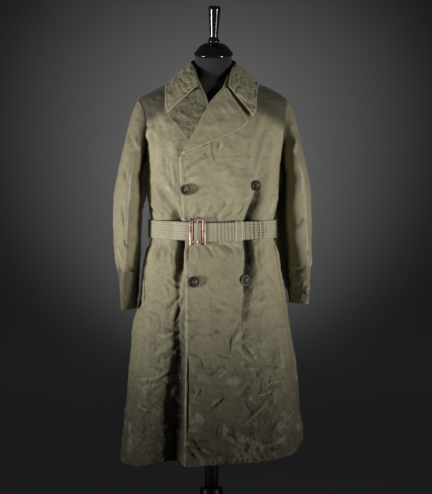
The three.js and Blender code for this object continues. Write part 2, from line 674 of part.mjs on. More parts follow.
function addBeltLoop(side, angle) {
  const half = BELT.width / 2 + 2;
  const over = BELT_CLEAR + BELT.first + BELT.thick + 0.8;
  const coatOut = (off) => {
    const z = beltMiddle(angle) + off;
    return Math.max(reach(angle, z) - reach(angle, WAIST), 0) + LOOP.air;
  };
  const path = [
    [-LOOP.reach, coatOut(-LOOP.reach)],
    [-half - 5, coatOut(-half - 5) + 1],
    [-half, over],
    [0, over],
    [half, over],
    [half + 5, coatOut(half + 5) + 1],
    [LOOP.reach, coatOut(LOOP.reach)],
  ];
  const turn = deg(LOOP.width / 2 / reach(angle, WAIST));
  const grid = (extra) =>
    path.map(([off, out]) => [-turn, 0, turn].map((t) => onBelt(angle + t, off, out + extra)));
  meshOf(`belt_loop_${side}`, wall(grid(LOOP.wall), grid(0)), OLIVE);
}
addBeltLoop("left", 86);
addBeltLoop("right", -86);

// ---------------------------------------------------------------- buckle and buttons
// Stands a mesh on the surface at a point: its own +Z becomes the outward direction.
function faceOut(mesh, point, outward) {
  const z = outward.clone().normalize();
  const x = new THREE.Vector3(0, 0, 1).cross(z).normalize();
  mesh.quaternion.setFromRotationMatrix(new THREE.Matrix4().makeBasis(x, z.clone().cross(x), z));
  mesh.position.copy(point);
}

function rectangle(middle, width, height, round, Kind) {
  const path = new Kind();
  const [left, right, y] = [middle - width / 2, middle + width / 2, height / 2];
  path.moveTo(left + round, -y);
  path.lineTo(right - round, -y);
  path.quadraticCurveTo(right, -y, right, -y + round);
  path.lineTo(right, y - round);
  path.quadraticCurveTo(right, y, right - round, y);
  path.lineTo(left + round, y);
  path.quadraticCurveTo(left, y, left, y - round);
  path.lineTo(left, -y + round);
  path.quadraticCurveTo(left, -y, left + round, -y);
  return path;
}

// The frame and its middle bar are one casting, with a window on each side of the bar.
function addBuckle() {
  const { width, height, bar, thick } = BUCKLE;
  const outline = rectangle(0, width, height, 4, THREE.Shape);
  const window = width / 2 - bar - thick / 2;
  for (const side of [-1, 1]) {
    const middle = (side * (window + thick)) / 2;
    outline.holes.push(rectangle(middle, window, height - 2 * bar, 2, THREE.Path));
  }
  const frame = new THREE.ExtrudeGeometry(outline, { depth: thick, bevelEnabled: false, curveSegments: 3 });
  const mesh = meshOf("buckle", frame, COPPER);
  const point = onBelt(BUCKLE.angle, 0, BUCKLE.out);
  faceOut(mesh, point, onBelt(BUCKLE.angle, 0, BUCKLE.out + 1).sub(point));
}
addBuckle();

// Four-hole buttons with a raised rim, each sewn on with a little slack.
const BUTTONS = {
  upper_right: { angle: -26.4, z: 1160 },
  upper_left: { angle: 46.5, z: 1172 },
  lower_right: { angle: -16.8, z: 909 },
  lower_left: { angle: 33.6, z: 912 },
};

function buttonProfile() {
  const { radius, thick } = BUTTON;
  const points = [
    [0, 0],
    [radius * 0.55, 0],
    [radius - 1, 1],
    [radius, thick * 0.5],
    [radius - 1.2, thick],
    [radius * 0.7, thick * 0.92],
    [radius * 0.52, thick * 0.6],
    [0, thick * 0.6],
  ];
  return points.map(([x, y]) => new THREE.Vector2(x, y));
}

for (const [name, { angle, z }] of Object.entries(BUTTONS)) {
  const geometry = new THREE.LatheGeometry(buttonProfile(), 14).rotateX(Math.PI / 2);
  const mesh = meshOf(`button_${name}`, geometry, HORN);
  const point = onCoat(angle, z);
  const outward = new THREE.Vector3(Math.sin(rad(angle)), -Math.cos(rad(angle)), 0);
  const rim = count(12).map((t) => {
    const across = deg((BUTTON.radius * Math.cos(2 * Math.PI * t)) / reach(angle, z));
    return onCoat(angle + across, z + BUTTON.radius * Math.sin(2 * Math.PI * t)).sub(point).dot(outward);
  });
  faceOut(mesh, point.addScaledVector(outward, Math.max(...rim, 0) + 1), outward);
}

// ---------------------------------------------------------------- dress form and stand
// The limbless torso is smooth and stays inside the coat. It leans a little on its pole.
const FORM_RINGS = [
  { z: 790, half: 156, front: 106, back: 116 },
  { z: 850, half: 163, front: 112, back: 122 },
  { z: 930, half: 157, front: 108, back: 114 },
  { z: 1000, half: 143, front: 100, back: 102 },
  { z: 1049, half: 137, front: 97, back: 96 },
  { z: 1120, half: 145, front: 103, back: 104 },
  { z: 1200, half: 159, front: 112, back: 114 },
  { z: 1270, half: 168, front: 112, back: 120 },
  { z: 1331, half: 176, front: 104, back: 116 },
  { z: 1374, half: 180, front: 94, back: 105 },
  { z: 1400, half: 180, front: 83, back: 92 },
  { z: 1414, half: 172, front: 77, back: 84 },
  { z: 1427, half: 162, front: 73, back: 77 },
  { z: 1440, half: 144, front: 68, back: 71 },
  { z: 1455, half: 110, front: 60, back: 62 },
  { z: 1468, half: 76, front: 54, back: 55 },
  { z: 1484, half: 53, front: 51, back: 52 },
];

function addForm() {
  const around = 26;
  const lean = (z) => (NECK_TOP.x * (z - FORM_BOTTOM)) / (NECK_TOP.z - FORM_BOTTOM);
  const rings = FORM_RINGS.map(({ z, half, front, back }) =>
    count(around).slice(0, around).map((t) => {
      const turn = 2 * Math.PI * t;
      const ahead = Math.cos(turn);
      return new THREE.Vector3(lean(z) + half * Math.sin(turn), -(ahead > 0 ? front : back) * ahead + 1, z);
    }),
  );
  const slope = Math.tan(rad(NECK_TOP.tilt));
  rings.push(
    count(around).slice(0, around).map((t) => {
      const [x, y] = [Math.sin(2 * Math.PI * t), -Math.cos(2 * Math.PI * t)].map((v) => v * NECK_TOP.radius);
      return new THREE.Vector3(NECK_TOP.x + x, NECK_TOP.y + y, NECK_TOP.z + y * slope);
    }),
  );
  const points = rings.flat();
  const faces = [];
  for (let row = 0; row < rings.length - 1; row += 1) {
    for (let i = 0; i < around; i += 1) {
      const [a, b] = [row * around + i, row * around + ((i + 1) % around)];
      faces.push([a, b, b + around], [a, b + around, a + around]);
    }
  }
  const top = (rings.length - 1) * around;
  for (let i = 1; i < around - 1; i += 1) {
    faces.push([0, i + 1, i], [top, top + i, top + i + 1]);
  }
  meshOf("form_torso", solid(points, faces), BLACK_JERSEY);
}
addForm();

// A turned piece: its profile gives radius and height, bottom first.
function turned(name, profile, look, segments = 24) {
  const geometry = new THREE.LatheGeometry(profile.map(([r, h]) => new THREE.Vector2(r, h)), segments);
  return meshOf(name, geometry.rotateX(Math.PI / 2), look);
}

const CAP = [[0, 0.4], [53, 0.4], [54.5, 4], [53.5, 9], [49, 13], [46.5, 17], [38, 27], [27, 33], [0, 33]];
const FINIAL = [
  [0, 0], [13, 0], [16, 7], [15, 13], [11.6, 20], [12, 28], [14.4, 62], [17, 98], [16, 104], [13, 105.5], [0, 105.5],
];
const tilt = rad(NECK_TOP.tilt);
const lean = 0.028; // the finial also leans a little to the wearer's left
const axis = new THREE.Vector3(0, -Math.sin(tilt), Math.cos(tilt));
const neckMiddle = new THREE.Vector3(NECK_TOP.x, NECK_TOP.y, NECK_TOP.z);
const cap = turned("neck_cap", CAP, BLACK_GLOSS);
const finial = turned("finial", FINIAL, BLACK_GLOSS, 20);
for (const [mesh, up] of [[cap, 0], [finial, 33.4]]) {
  mesh.position.copy(neckMiddle).addScaledVector(axis, up);
  mesh.rotation.x = tilt;
}
finial.rotation.y = lean;

const POLE = 20; // radius
const HUB = { top: 315, bottom: 250 };
turned("pole", [[0, HUB.top + SEAM], [POLE, HUB.top + SEAM], [POLE, FORM_BOTTOM - SEAM], [0, FORM_BOTTOM - SEAM]], BLACK_IRON, 20);
turned(
  "pole_hub",
  [[0, HUB.bottom], [26, HUB.bottom], [33, HUB.bottom + 8], [33, HUB.top - 8], [30, HUB.top], [0, HUB.top]],
  BLACK_IRON,
  20,
);
const COLUMN = { radius: 24, bottom: 46 };
turned(
  "column",
  [[0, COLUMN.bottom + SEAM], [COLUMN.radius, COLUMN.bottom + SEAM], [COLUMN.radius, HUB.bottom - SEAM], [0, HUB.bottom - SEAM]],
  BLACK_IRON,
  20,
);
turned(
  "base",
  [[0, 0], [188, 0], [192, 5], [189, 12], [150, 18], [60, 25], [36, 34], [32, COLUMN.bottom], [0, COLUMN.bottom]],
  BLACK_IRON,
  28,
);

export default coat;
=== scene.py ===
import math
import bpy
import numpy as np
from mathutils import Matrix, Vector, noise


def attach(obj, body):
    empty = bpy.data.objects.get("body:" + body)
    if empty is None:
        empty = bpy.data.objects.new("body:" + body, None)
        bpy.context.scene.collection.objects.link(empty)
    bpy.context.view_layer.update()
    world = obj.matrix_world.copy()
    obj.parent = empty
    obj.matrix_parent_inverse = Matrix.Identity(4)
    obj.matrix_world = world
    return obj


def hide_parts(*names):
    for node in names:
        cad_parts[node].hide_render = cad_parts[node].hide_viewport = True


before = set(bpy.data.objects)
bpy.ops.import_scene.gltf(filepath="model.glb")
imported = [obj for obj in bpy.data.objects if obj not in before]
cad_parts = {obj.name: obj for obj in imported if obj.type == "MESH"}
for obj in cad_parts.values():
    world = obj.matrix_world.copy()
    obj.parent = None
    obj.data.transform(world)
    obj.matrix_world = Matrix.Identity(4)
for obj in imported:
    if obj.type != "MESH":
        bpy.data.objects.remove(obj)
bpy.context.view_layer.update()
bpy.ops.object.select_all(action="DESELECT")

# ================================================================ studio
# A pale sweep of paper runs from under the stand up the wall far behind it. Two soft boxes stand low in
# front, one on either side, so that shoulders and hem fall into half shade. A weak one lights the wall, and
# another the back.
SWEEP_WIDE, SWEEP_DEEP, SWEEP_MIDDLE, WALL_HIGH, WALL_BEND = 26, 24, -4, 6, 2.4
bpy.ops.mesh.primitive_plane_add(size=1, location=(0, 0, -0.0004))
paper = bpy.context.object
paper.name = "studio_sweep"
paper.scale = (SWEEP_WIDE, SWEEP_DEEP, 1)
paper.location.y = SWEEP_MIDDLE
bpy.ops.object.transform_apply(location=True, rotation=True, scale=True)


def pick(piece, kind, wanted):
    """Selects the edges or faces of a piece that pass a test, and leaves it in edit mode."""
    bpy.ops.object.mode_set(mode="EDIT")
    bpy.ops.mesh.select_mode(type=kind)
    bpy.ops.mesh.select_all(action="DESELECT")
    bpy.ops.object.mode_set(mode="OBJECT")
    for part in piece.data.polygons if kind == "FACE" else piece.data.edges:
        part.select = bool(wanted(part))
    bpy.ops.object.mode_set(mode="EDIT")


def far_edge(edge, on_floor=False):
    """Whether an edge of the paper is at its far end, and where that is asked, on the floor."""
    ends = [paper.data.vertices[i].co for i in edge.vertices]
    return all(end.y > 3 and (abs(end.z) < 0.01 or not on_floor) for end in ends)


pick(paper, "EDGE", far_edge)
bpy.ops.mesh.extrude_region_move(TRANSFORM_OT_translate={"value": (0, 0, WALL_HIGH)})
pick(paper, "EDGE", lambda edge: far_edge(edge, True))
bpy.ops.mesh.bevel(offset=WALL_BEND, segments=24, affect="EDGES")
bpy.ops.object.mode_set(mode="OBJECT")
bpy.ops.object.shade_smooth()
sweep_paper = bpy.data.materials.new("sweep_paper")
sweep_paper.use_nodes = True
sweep_paper.node_tree.nodes["Principled BSDF"].inputs["Base Color"].default_value = (0.60, 0.60, 0.60, 1)
sweep_paper.node_tree.nodes["Principled BSDF"].inputs["Roughness"].default_value = 0.9
paper.data.materials.append(sweep_paper)

scene = bpy.context.scene


def aimed(name, data, place, aim):
    """Adds a camera or a light that looks at a point."""
    made = bpy.data.objects.new(name, data)
    made.location = place
    made.rotation_euler = (Vector(aim) - Vector(place)).to_track_quat("-Z", "Y").to_euler()
    scene.collection.objects.link(made)
    return made


def soft_box(name, place, aim, width, height, watts, spread):
    light = bpy.data.lights.new(name, "AREA")
    light.shape = "RECTANGLE"
    light.size, light.size_y, light.energy, light.spread = width, height, watts, math.radians(spread)
    return aimed(name, light, place, aim)


lens = bpy.data.cameras.new("camera")
lens.sensor_width, lens.lens = 36, 102.6
scene.camera = aimed("camera", lens, (0.0128, -4.0, 1.14), (0.0128, 0, 0.999))
soft_box("key_box", (-2.28, -1.04, 0.72), (0.02, 0, 1.18), 0.45, 0.7, 3.25, 35)
soft_box("fill_box", (2.0, -1.5, 0.72), (-0.03, 0, 1.14), 0.45, 0.7, 2.2, 35)
soft_box("wall_box", (0.0, 3.2, 0.4), (0.0, 8.0, 1.45), 0.8, 0.5, 3.6, 46)
soft_box("back_box", (0.9, 3.0, 0.6), (0.0, 0.0, 1.1), 0.8, 0.8, 1.4, 44).visible_glossy = False
scene.world = bpy.data.worlds.new("studio_air")
scene.world.use_nodes = True
scene.world.node_tree.nodes["Background"].inputs["Color"].default_value = (0.9, 0.93, 1.0, 1)
scene.world.node_tree.nodes["Background"].inputs["Strength"].default_value = 0.018
scene.view_settings.view_transform = "Standard"

# ================================================================ coat body
# Three panels of olive rubberised cotton twill, lined, with a finished wall of 2 mm: the left front, which
# laps over the right, the right front, and a back cut whole. They are seamed at the sides and shoulders.

# In millimetres: the wall, the air between two layers, and the heights of the seams, waist and hem.
CLOTH, LAYER, NECK, WAIST, ARMPIT, SHOULDER, HEM = 2.0, 1.3, 1480, 1049, 1241, 1418, 420


def sin(degrees):
    return np.sin(np.radians(degrees))


def cos(degrees):
    return np.cos(np.radians(degrees))


def bell(off, breadth):
    return np.exp(-((off / breadth) ** 2))


def unit(vectors):
    return vectors / np.maximum(np.linalg.norm(vectors, axis=-1, keepdims=True), 1e-9)


def curve(table, column, at=0, free=False):
    """A smooth curve through one column of a table, free to swing past its rows or held between them."""
    table = np.asarray(table, float)
    x, y = table[:, at], table[:, column]
    steps = np.diff(y) / np.diff(x)
    before, after = np.r_[steps[0], steps], np.r_[steps, steps[-1]]
    same = before * after > 0
    slopes = np.where(same, 2 * before * after / np.where(same, before + after, 1), 0)
    if free:
        slopes = (before + after) / 2

    def value(v):
        v = np.clip(v, x[0], x[-1])
        i = np.clip(np.searchsorted(x, v, side="right") - 1, 0, len(x) - 2)
        span = x[i + 1] - x[i]
        t = (v - x[i]) / span
        bend = t * (1 - t) * span * ((1 - t) * slopes[i] - t * slopes[i + 1])
        return y[i] + (y[i + 1] - y[i]) * (3 - 2 * t) * t * t + bend

    return value


def ramp(value, start, end):
    """0 up to the start, 1 from the end on, eased between them. The end may be the smaller of the two."""
    t = np.clip((value - start) / (end - start), 0, 1)
    return t * t * (3 - 2 * t)


# Level sections: height, reach to the right, left, front and back, and how square it is.
SECTIONS = [
    (380, 266, 264, 217, 207, 2.1), (508, 248, 254, 205, 197, 2.1), (599, 240, 247, 196, 190, 2.1),
    (690, 231, 238, 186, 181, 2.15), (780, 223, 222, 175, 171, 2.2), (848, 204, 212, 166, 161, 2.2),
    (917, 197, 200, 157, 150, 2.25), (974, 189, 191, 148, 139, 2.3), (1016, 174, 180, 135, 121, 2.3),
    (1049, 170, 176, 132, 118, 2.3), (1079, 172, 178, 134, 120, 2.3), (1118, 178, 186, 141, 127, 2.35),
    (1161, 183, 192, 143, 132, 2.4), (1212, 183, 195, 142, 135, 2.4), (1258, 186, 200, 138, 136, 2.4),
    (1331, 196, 215, 124, 132, 2.2), (1374, 203, 219, 110, 120, 2.1), (1408, 207, 217, 95, 103, 2.0),
    (1419, 204, 210, 90, 97, 1.95), (1435, 176, 187, 84, 87, 1.9), (1447, 152, 164, 78, 80, 1.9),
    (1462, 114, 124, 70, 70, 1.95), (1480, 59, 71, 62, 61, 2.0),
]
right_at, left_at, front_at, back_at, square_at = (curve(SECTIONS, column) for column in range(1, 6))
# The pleat in the right front, beside the edge of the left one: its heights, and its angle at each.
PLEAT_TOP, PLEAT_FOOT, PLEAT_TURN, PLEAT_FOOT_TURN = 960, 380, -27, -33
# The main folds: top height and angle, foot height and angle, breadth on each side, depth, how soon it
# fades in and out, and whether it belongs to the right front alone.
FOLDS = [
    (1330, 62, 1062, 42, 13, 20, -19, 150, 12, False), (1036, 42, 770, 28, 13, 22, -20, 12, 190, False),
    (960, 56, 400, 58, 60, 50, 9, 170, 10, False), (1220, -56, 1062, -39, 22, 14, -15, 120, 12, False),
    (1036, -35.5, 860, -31, 11, 11, -15, 12, 110, False),
    (PLEAT_TOP, PLEAT_TURN, PLEAT_FOOT, PLEAT_FOOT_TURN, 30, 40, -46, 430, 0, True),
    (900, -52, 380, -50, 46, 30, 11, 300, 0, False), (1370, -68, 1270, -62, 12, 14, -7, 40, 40, False),
    (930, 150, 380, 142, 40, 40, -20, 330, 0, False), (930, 208, 380, 220, 40, 40, -18, 300, 0, False),
    (900, 180, 380, 182, 60, 60, 12, 300, 0, False), (1240, 138, 1062, 150, 20, 20, -9, 130, 12, False),
    (1230, 224, 1062, 210, 20, 20, -9, 120, 12, False),
]


def reach(angle, z):
    """How far the smooth coat is from its axis, at an angle from the front and a height."""
    side, ahead = sin(angle), cos(angle)
    across = np.abs(side) / np.where(side > 0, left_at(z), right_at(z))
    along = np.abs(ahead) / np.where(ahead > 0, front_at(z), back_at(z))
    power = square_at(z)
    return (across**power + along**power) ** (-1 / power)


def skin(angle, z, under=False):
    """Points of the coat with its main folds; under takes in the pleat of the right front."""
    angle, z = np.broadcast_arrays(np.asarray(angle, float), np.asarray(z, float))
    smooth = reach(angle, z)
    total = smooth.copy()
    for top, turn, foot, foot_turn, before, after, deep, fade, foot_fade, only_under in FOLDS:
        if only_under and not under:
            continue
        along = (top - z) / (top - foot)
        off = angle - (turn + (foot_turn - turn) * along)
        off = np.radians(off - 360 * np.round(off / 360)) * smooth
        ends = ramp(top - z, 0, fade) * (ramp(z - foot, 0, foot_fade) if foot_fade else 1)
        across = bell(off, np.where(off < 0, before, after))
        total += np.where((along < 0) | (along > 1), 0, deep * across * ends)
    return np.stack([total * sin(angle), -total * cos(angle), z], -1)


def on_coat(angle, z, out=0.0, under=False):
    """Points of the coat's surface, moved outwards along its own normals."""
    around = skin(angle + 1, z, under) - skin(angle - 1, z, under)
    up = skin(angle, np.minimum(z + 3, NECK), under) - skin(angle, z - 3, under)
    return skin(angle, z, under) + unit(np.cross(around, up)) * np.asarray(out, float)[..., None]


def angle_at(x, z):
    """The angle at which the front of the smooth section has a given x."""
    x, z = np.broadcast_arrays(np.asarray(x, float), np.asarray(z, float))
    low, high = np.full(x.shape, -90.0), np.full(x.shape, 90.0)
    for _ in range(26):
        middle = (low + high) / 2
        less = reach(middle, z) * sin(middle) < x
        low, high = np.where(less, middle, low), np.where(less, high, middle)
    return low


hem_at = curve([(-180, 430), (-135, 415), (-90, 403), (-60, 397), (-36, 417), (-20, 411), (0, 416), (35, 420),
                (60, 430), (90, 455), (135, 446), (180, 430)], 1)
LEVEL_FROM = 760


def height_of(z, angle):
    """Rows are level from some way above the hem, and follow the hem below."""
    hem = hem_at(angle - 360 * np.round(angle / 360))
    return np.where(z >= LEVEL_FROM, z, hem + (LEVEL_FROM - hem) * (z - HEM) / (LEVEL_FROM - HEM))


left_edge_x = curve([(400, -73), (557, -71), (740, -69), (906, -70), (1017, -77), (1081, -78), (1177, -84),
                     (1243, -87), (1268, -78), (1301, -59), (1342, -38), (1375, -19), (1401, -5), (1424, 13),
                     (1448, 33), (1480, 46)], 1)
right_edge_x = curve([(400, 74), (1150, 74), (1200, 40), (1240, 10), (1290, 3), (1345, 4), (1402, -6),
                      (1430, -19), (1449, -28), (1480, -42)], 1)
ARMHOLE_MIDDLE, ARMHOLE_HALF = (ARMPIT + SHOULDER) / 2, (SHOULDER - ARMPIT) / 2


def armhole_reach(z, most):
    """How far the armhole cuts into a panel at a height, as an angle."""
    off = np.clip((z - ARMHOLE_MIDDLE) / ARMHOLE_HALF, -1, 1)
    return most * np.sqrt(1 - off * off)


def tuck_in(angle, z):
    """How far the right front lies in, where the left front or a lapel covers it."""
    over = angle_at(left_edge_x(z), z)
    depth = 4.0 + 3.2 * ramp(z, 1110, 1200)
    return -depth * ramp(angle, over - 36, over - 8)


# Creases that wear has set in the front, as lines across it: from x, z to x, z, breadth, height, bow.
FRONT_CREASES = [
    (23, 1304, 15, 1258, 4, -2.0, 1), (34, 1300, 24, 1252, 6, 1.6, 1), (-172, 1396, -126, 1306, 15, -5, 4),
    (-196, 1330, -150, 1352, 9, -3.4, 3), (-190, 1300, -156, 1336, 10, 3.2, -4),
    (-120, 1330, -96, 1200, 22, 2.6, -6), (-182, 1170, -110, 1096, 16, -3.6, 10),
    (-186, 1130, -134, 1078, 7, -3.4, 5), (30, 1240, 90, 1110, 26, 2.0, 6),
    (150, 1340, 118, 1200, 16, -2.0, 4), (186, 1150, 160, 1078, 9, 3.0, 3),
    (112, 1330, 106, 1232, 3.5, 0.8, -2), (104, 1300, 96, 1236, 6, -1.2, 0),
    (72, 1240, 56, 1214, 4, -1.3, 2), (46, 1444, 110, 1356, 5, -11, 0),
    (-63.5, 730, -63.5, 470, 3.2, -5, 0), (-80, 1208, -6, 1264, 7, -2.6, -5),
    (-72, 1200, 6, 1254, 7, 1.6, -5), (-80, 1186, -36, 1214, 5, -2.2, -3),
    (-74, 1176, -30, 1200, 5, 1.7, -3), (-64, 1150, 2, 1180, 8, -1.3, -4), (-50, 1130, 30, 1166, 9, 1.2, 4),
    (-62, 1084, -40, 1126, 6, 2.6, 5), (-50, 1084, -26, 1118, 5, -2.4, 5), (-34, 1084, 0, 1132, 7, 2.0, 6),
    (-6, 1080, 44, 1140, 7, -2.6, 9), (8, 1080, 62, 1150, 7, 2.1, 9), (22, 1080, 62, 1106, 5, -2.4, 6),
    (38, 1080, 84, 1124, 6, 2.3, 7), (60, 1080, 92, 1128, 5, -2.4, 4), (76, 1080, 100, 1150, 6, 1.9, 4),
    (-170, 1140, -122, 1082, 6, -3.4, 6), (-162, 1124, -128, 1082, 6, 2.8, 5),
    (-176, 1120, -146, 1090, 4, -2.6, 3), (-158, 1196, -112, 1120, 14, -3.0, 8),
    (-140, 1210, -106, 1150, 10, 2.2, 6), (-112, 1250, -100, 1160, 6, 1.3, 2),
    (-150, 1300, -150, 1222, 12, 2.4, -5), (-132, 1260, -128, 1200, 6, -1.2, 0),
    (150, 1262, 170, 1330, 9, -2.2, 4), (122, 1300, 150, 1378, 11, 1.6, -4),
    (-62, 1018, -66, 960, 6, -2.2, 0), (-46, 1016, -38, 962, 6, 1.8, -4), (-20, 1016, 6, 970, 6, -2.4, -4),
    (-2, 1016, 42, 972, 7, 2.2, -5), (18, 1014, 66, 984, 6, -2.3, -5), (44, 1016, 88, 1000, 5, 2.0, -3),
    (8, 936, 48, 982, 9, -1.6, 3), (54, 990, 20, 960, 7, -1.3, 0), (130, 1016, 134, 940, 7, -1.8, 3),
    (150, 1016, 162, 930, 8, 2.0, 3), (-132, 1018, -150, 958, 8, -2.4, 4),
    (-150, 1018, -172, 960, 7, 2.4, 4), (-112, 1018, -118, 950, 7, 1.6, 0),
    (-172, 990, -186, 936, 7, -2.2, 3), (-78, 880, -142, 828, 5, -4.2, -5),
    (-82, 894, -126, 920, 6, -2.6, -4), (-96, 880, -150, 846, 7, 2.2, -4), (-84, 866, -112, 792, 7, 2.6, 4),
    (-76, 852, -98, 800, 5, -3.0, 3), (-120, 868, -134, 900, 7, 1.6, 0), (-206, 866, -160, 830, 5, 2.2, -7),
    (-168, 836, -176, 770, 6, 1.6, 0), (-182, 820, -186, 700, 10, -1.6, 3),
    (-160, 700, -92, 746, 9, 4.2, -6), (-150, 688, -96, 716, 7, -3.8, -4),
    (-132, 776, -86, 790, 8, -2.2, 3), (-150, 760, -96, 772, 8, 2.2, 4), (-162, 680, -126, 668, 5, -2.6, 2),
    (-148, 636, -104, 660, 5, -3.6, -3), (-220, 628, -116, 644, 4.5, -3.0, 4),
    (-214, 638, -126, 654, 5, 2.2, 4), (-214, 640, -186, 676, 5, -1.6, 0),
    (-206, 570, -166, 558, 5, 2.8, 4), (-204, 556, -164, 550, 4.5, -2.8, 3),
    (-162, 564, -138, 578, 4, -2.4, 0), (-208, 522, -160, 556, 6, -2.0, 2),
    (-190, 530, -160, 506, 6, 2.0, 2), (-222, 600, -196, 590, 5, -1.8, 2),
    (-196, 494, -150, 520, 6, -1.8, 0), (-216, 470, -160, 486, 7, 1.8, 3),
    (-176, 450, -140, 470, 5, -2.2, 2), (80, 812, 42, 738, 9, -2.4, -5), (92, 806, 60, 744, 9, 1.6, -4),
    (54, 766, 50, 714, 5, -2.6, 0), (62, 746, 110, 690, 3.5, 3.0, 3), (74, 748, 118, 704, 5, -2.2, 3),
    (96, 740, 128, 690, 6, 1.4, 2), (-60, 752, -24, 778, 7, -2.0, -2), (-18, 772, 28, 784, 6, -2.2, 3),
    (-6, 858, 46, 820, 12, -2.0, 4), (20, 850, 66, 836, 8, 1.6, 3), (-60, 716, -20, 718, 6, -2.4, 2),
    (-30, 708, -22, 676, 4, -2.2, 0), (-14, 706, -6, 660, 6, 1.6, 0), (-6, 654, 26, 690, 5, -2.2, 3),
    (10, 646, 50, 680, 6, 1.6, 3), (28, 692, 60, 664, 6, -1.8, 3), (80, 700, 92, 664, 5, 1.6, 2),
    (92, 676, 130, 662, 6, 1.5, -4), (166, 758, 188, 742, 9, -2.6, 2), (164, 740, 168, 654, 12, -2.4, -3),
    (190, 740, 200, 660, 9, 2.2, 2), (150, 700, 128, 724, 6, 1.4, 0), (110, 650, 150, 672, 8, -1.6, 3),
    (142, 618, 208, 632, 3.2, 3.2, -9), (140, 608, 206, 618, 4, -2.2, -9), (124, 596, 164, 614, 4, 2.2, 2),
    (126, 586, 170, 606, 5, -2.2, 2), (-8, 556, 38, 606, 4.5, -3.2, 3), (-14, 566, 22, 600, 6, 1.6, 3),
    (82, 520, 168, 598, 5, 2.4, 5), (74, 530, 150, 600, 7, -1.8, 5), (100, 604, 124, 574, 5, 2.2, 2),
    (44, 496, 66, 470, 9, 2.6, 2), (40, 540, 30, 476, 8, 1.8, -3), (18, 540, 16, 460, 9, -2.0, 3),
    (208, 520, 238, 556, 3, 2.8, -2), (204, 512, 232, 540, 5, -1.8, -2), (198, 484, 240, 488, 4, 2.2, 2),
    (140, 462, 196, 474, 5, 2.4, 3), (136, 450, 200, 462, 6, -2.0, 3), (112, 470, 134, 420, 4.5, 2.6, 8),
    (122, 470, 146, 424, 6, -2.2, 8), (140, 480, 170, 506, 5, 1.8, 0), (160, 452, 168, 430, 6, 2.0, 0),
    (-64, 500, 4, 426, 5, -4.0, 5), (-66, 482, -14, 422, 6, 3.6, 4), (-58, 470, -34, 424, 5, -1.8, 2),
    (-30, 520, 20, 506, 8, -2.2, 3), (-20, 470, 40, 444, 7, -2.0, 3), (-50, 590, -30, 640, 7, 1.6, 2),
]
BACK_CREASES = [
    (-120, 1078, -60, 1150, 10, -2.6, 8), (-80, 1078, -30, 1140, 9, 2.4, 6),
    (-40, 1078, -14, 1150, 8, -2.2, 4), (0, 1078, 6, 1164, 9, 2.2, 3), (30, 1078, 50, 1150, 8, -2.4, -4),
    (64, 1078, 110, 1150, 10, 2.4, -6), (96, 1078, 142, 1134, 8, -2.4, -5),
    (-130, 1290, -60, 1330, 14, 2.2, 8), (60, 1334, 140, 1286, 14, 2.2, 8),
    (-110, 1260, -20, 1290, 12, -2.0, 6), (30, 1290, 120, 1254, 12, -2.0, 6),
    (-60, 1380, 60, 1384, 16, 1.6, 5), (-110, 1014, -140, 920, 9, -2.6, 4),
    (-70, 1014, -80, 900, 9, 2.4, 3), (-30, 1014, -34, 930, 8, -2.2, 3), (10, 1014, 10, 910, 9, 2.2, 0),
    (50, 1014, 60, 920, 8, -2.4, 3), (90, 1014, 108, 900, 9, 2.4, 3), (130, 1014, 150, 930, 8, -2.2, 3),
    (-150, 700, -70, 740, 12, -2.4, 6), (60, 690, 150, 730, 12, 2.4, 6), (-60, 620, 20, 600, 10, -2.2, 5),
    (20, 560, 120, 590, 10, 2.2, 5), (-180, 560, -110, 540, 9, -2.4, 5), (-40, 500, 40, 480, 9, 2.0, 5),
    (90, 480, 170, 510, 9, -2.2, 5), (-190, 780, -140, 740, 9, 2.2, 4), (150, 820, 190, 760, 9, -2.4, 4),
    (-20, 800, 40, 770, 12, -1.8, 5), (-120, 470, -60, 460, 8, 2.0, 4),
]


def crease_height(creases, x, z):
    """Each crease is a hollow or a ridge with a low shoulder on each side, and runs out at both ends."""
    total = np.zeros_like(x)
    for x0, z0, x1, z1, wide, high, bow in creases:
        length = math.hypot(x1 - x0, z1 - z0)
        along = ((x - x0) * (x1 - x0) + (z - z0) * (z1 - z0)) / length**2
        across = ((x - x0) * (z1 - z0) - (z - z0) * (x1 - x0)) / length
        across = (across - bow * np.sin(math.pi * np.clip(along, 0, 1))) / wide
        total += high * ramp(along, 0, 0.3) * ramp(along, 1, 0.7) * (1 - 0.8 * across**2) * bell(across, 1)
    return total


def crumple(points, size, seed):
    """Soft dents and ridges that meet at corners, as in stiff cloth that has been crushed and flattened by
    wear.
    """
    flat = points.reshape(-1, 3)
    values = np.empty(len(flat))
    for i, place in enumerate(flat):
        p = Vector(place) / size + Vector((seed, 0, 0))
        values[i] = abs(noise.noise(p)) - 0.55 * abs(noise.noise(p * 2.3)) - 0.1
    return values.reshape(points.shape[:-1])


# Where the belt pinches the cloth most, one side of the fold laps over the other and leaves a dark gap,
# here a groove whose cloth is also painted near black as shade.
# Rows of height, angle and depth, then the breadth before and after the gap's line.
LEFT_PINCH = ([(380, 26, 0), (700, 26, 0), (780, 26.5, -3), (870, 31.5, -8), (950, 38.2, -13),
               (1030, 42.5, -14), (1068, 43, -14), (1150, 50, -9), (1176, 52, 0), (1480, 60, 0)], 2.2, 13)
RIGHT_PINCH = ([(380, -30, 0), (640, -30.5, 0), (800, -31, -3), (900, -32, -5), (960, -33, -9),
                (1030, -34.5, -13), (1068, -38, -9), (1095, -40, -7), (1122, -42, 0), (1480, -56, 0)], 9, 2.2)


WAIST_RADIUS, SKIRT_RADIUS = 160, 190  # turns become lengths round the coat at these


def pinch_depth(angle, z):
    total = 0
    for rows, before, after in (LEFT_PINCH, RIGHT_PINCH):
        heights, _, depths = zip(*rows)
        off = np.radians(angle - curve(rows, 1)(z)) * WAIST_RADIUS
        total = total + np.interp(z, heights, depths) * bell(off, np.where(off < 0, before, after))
    return total


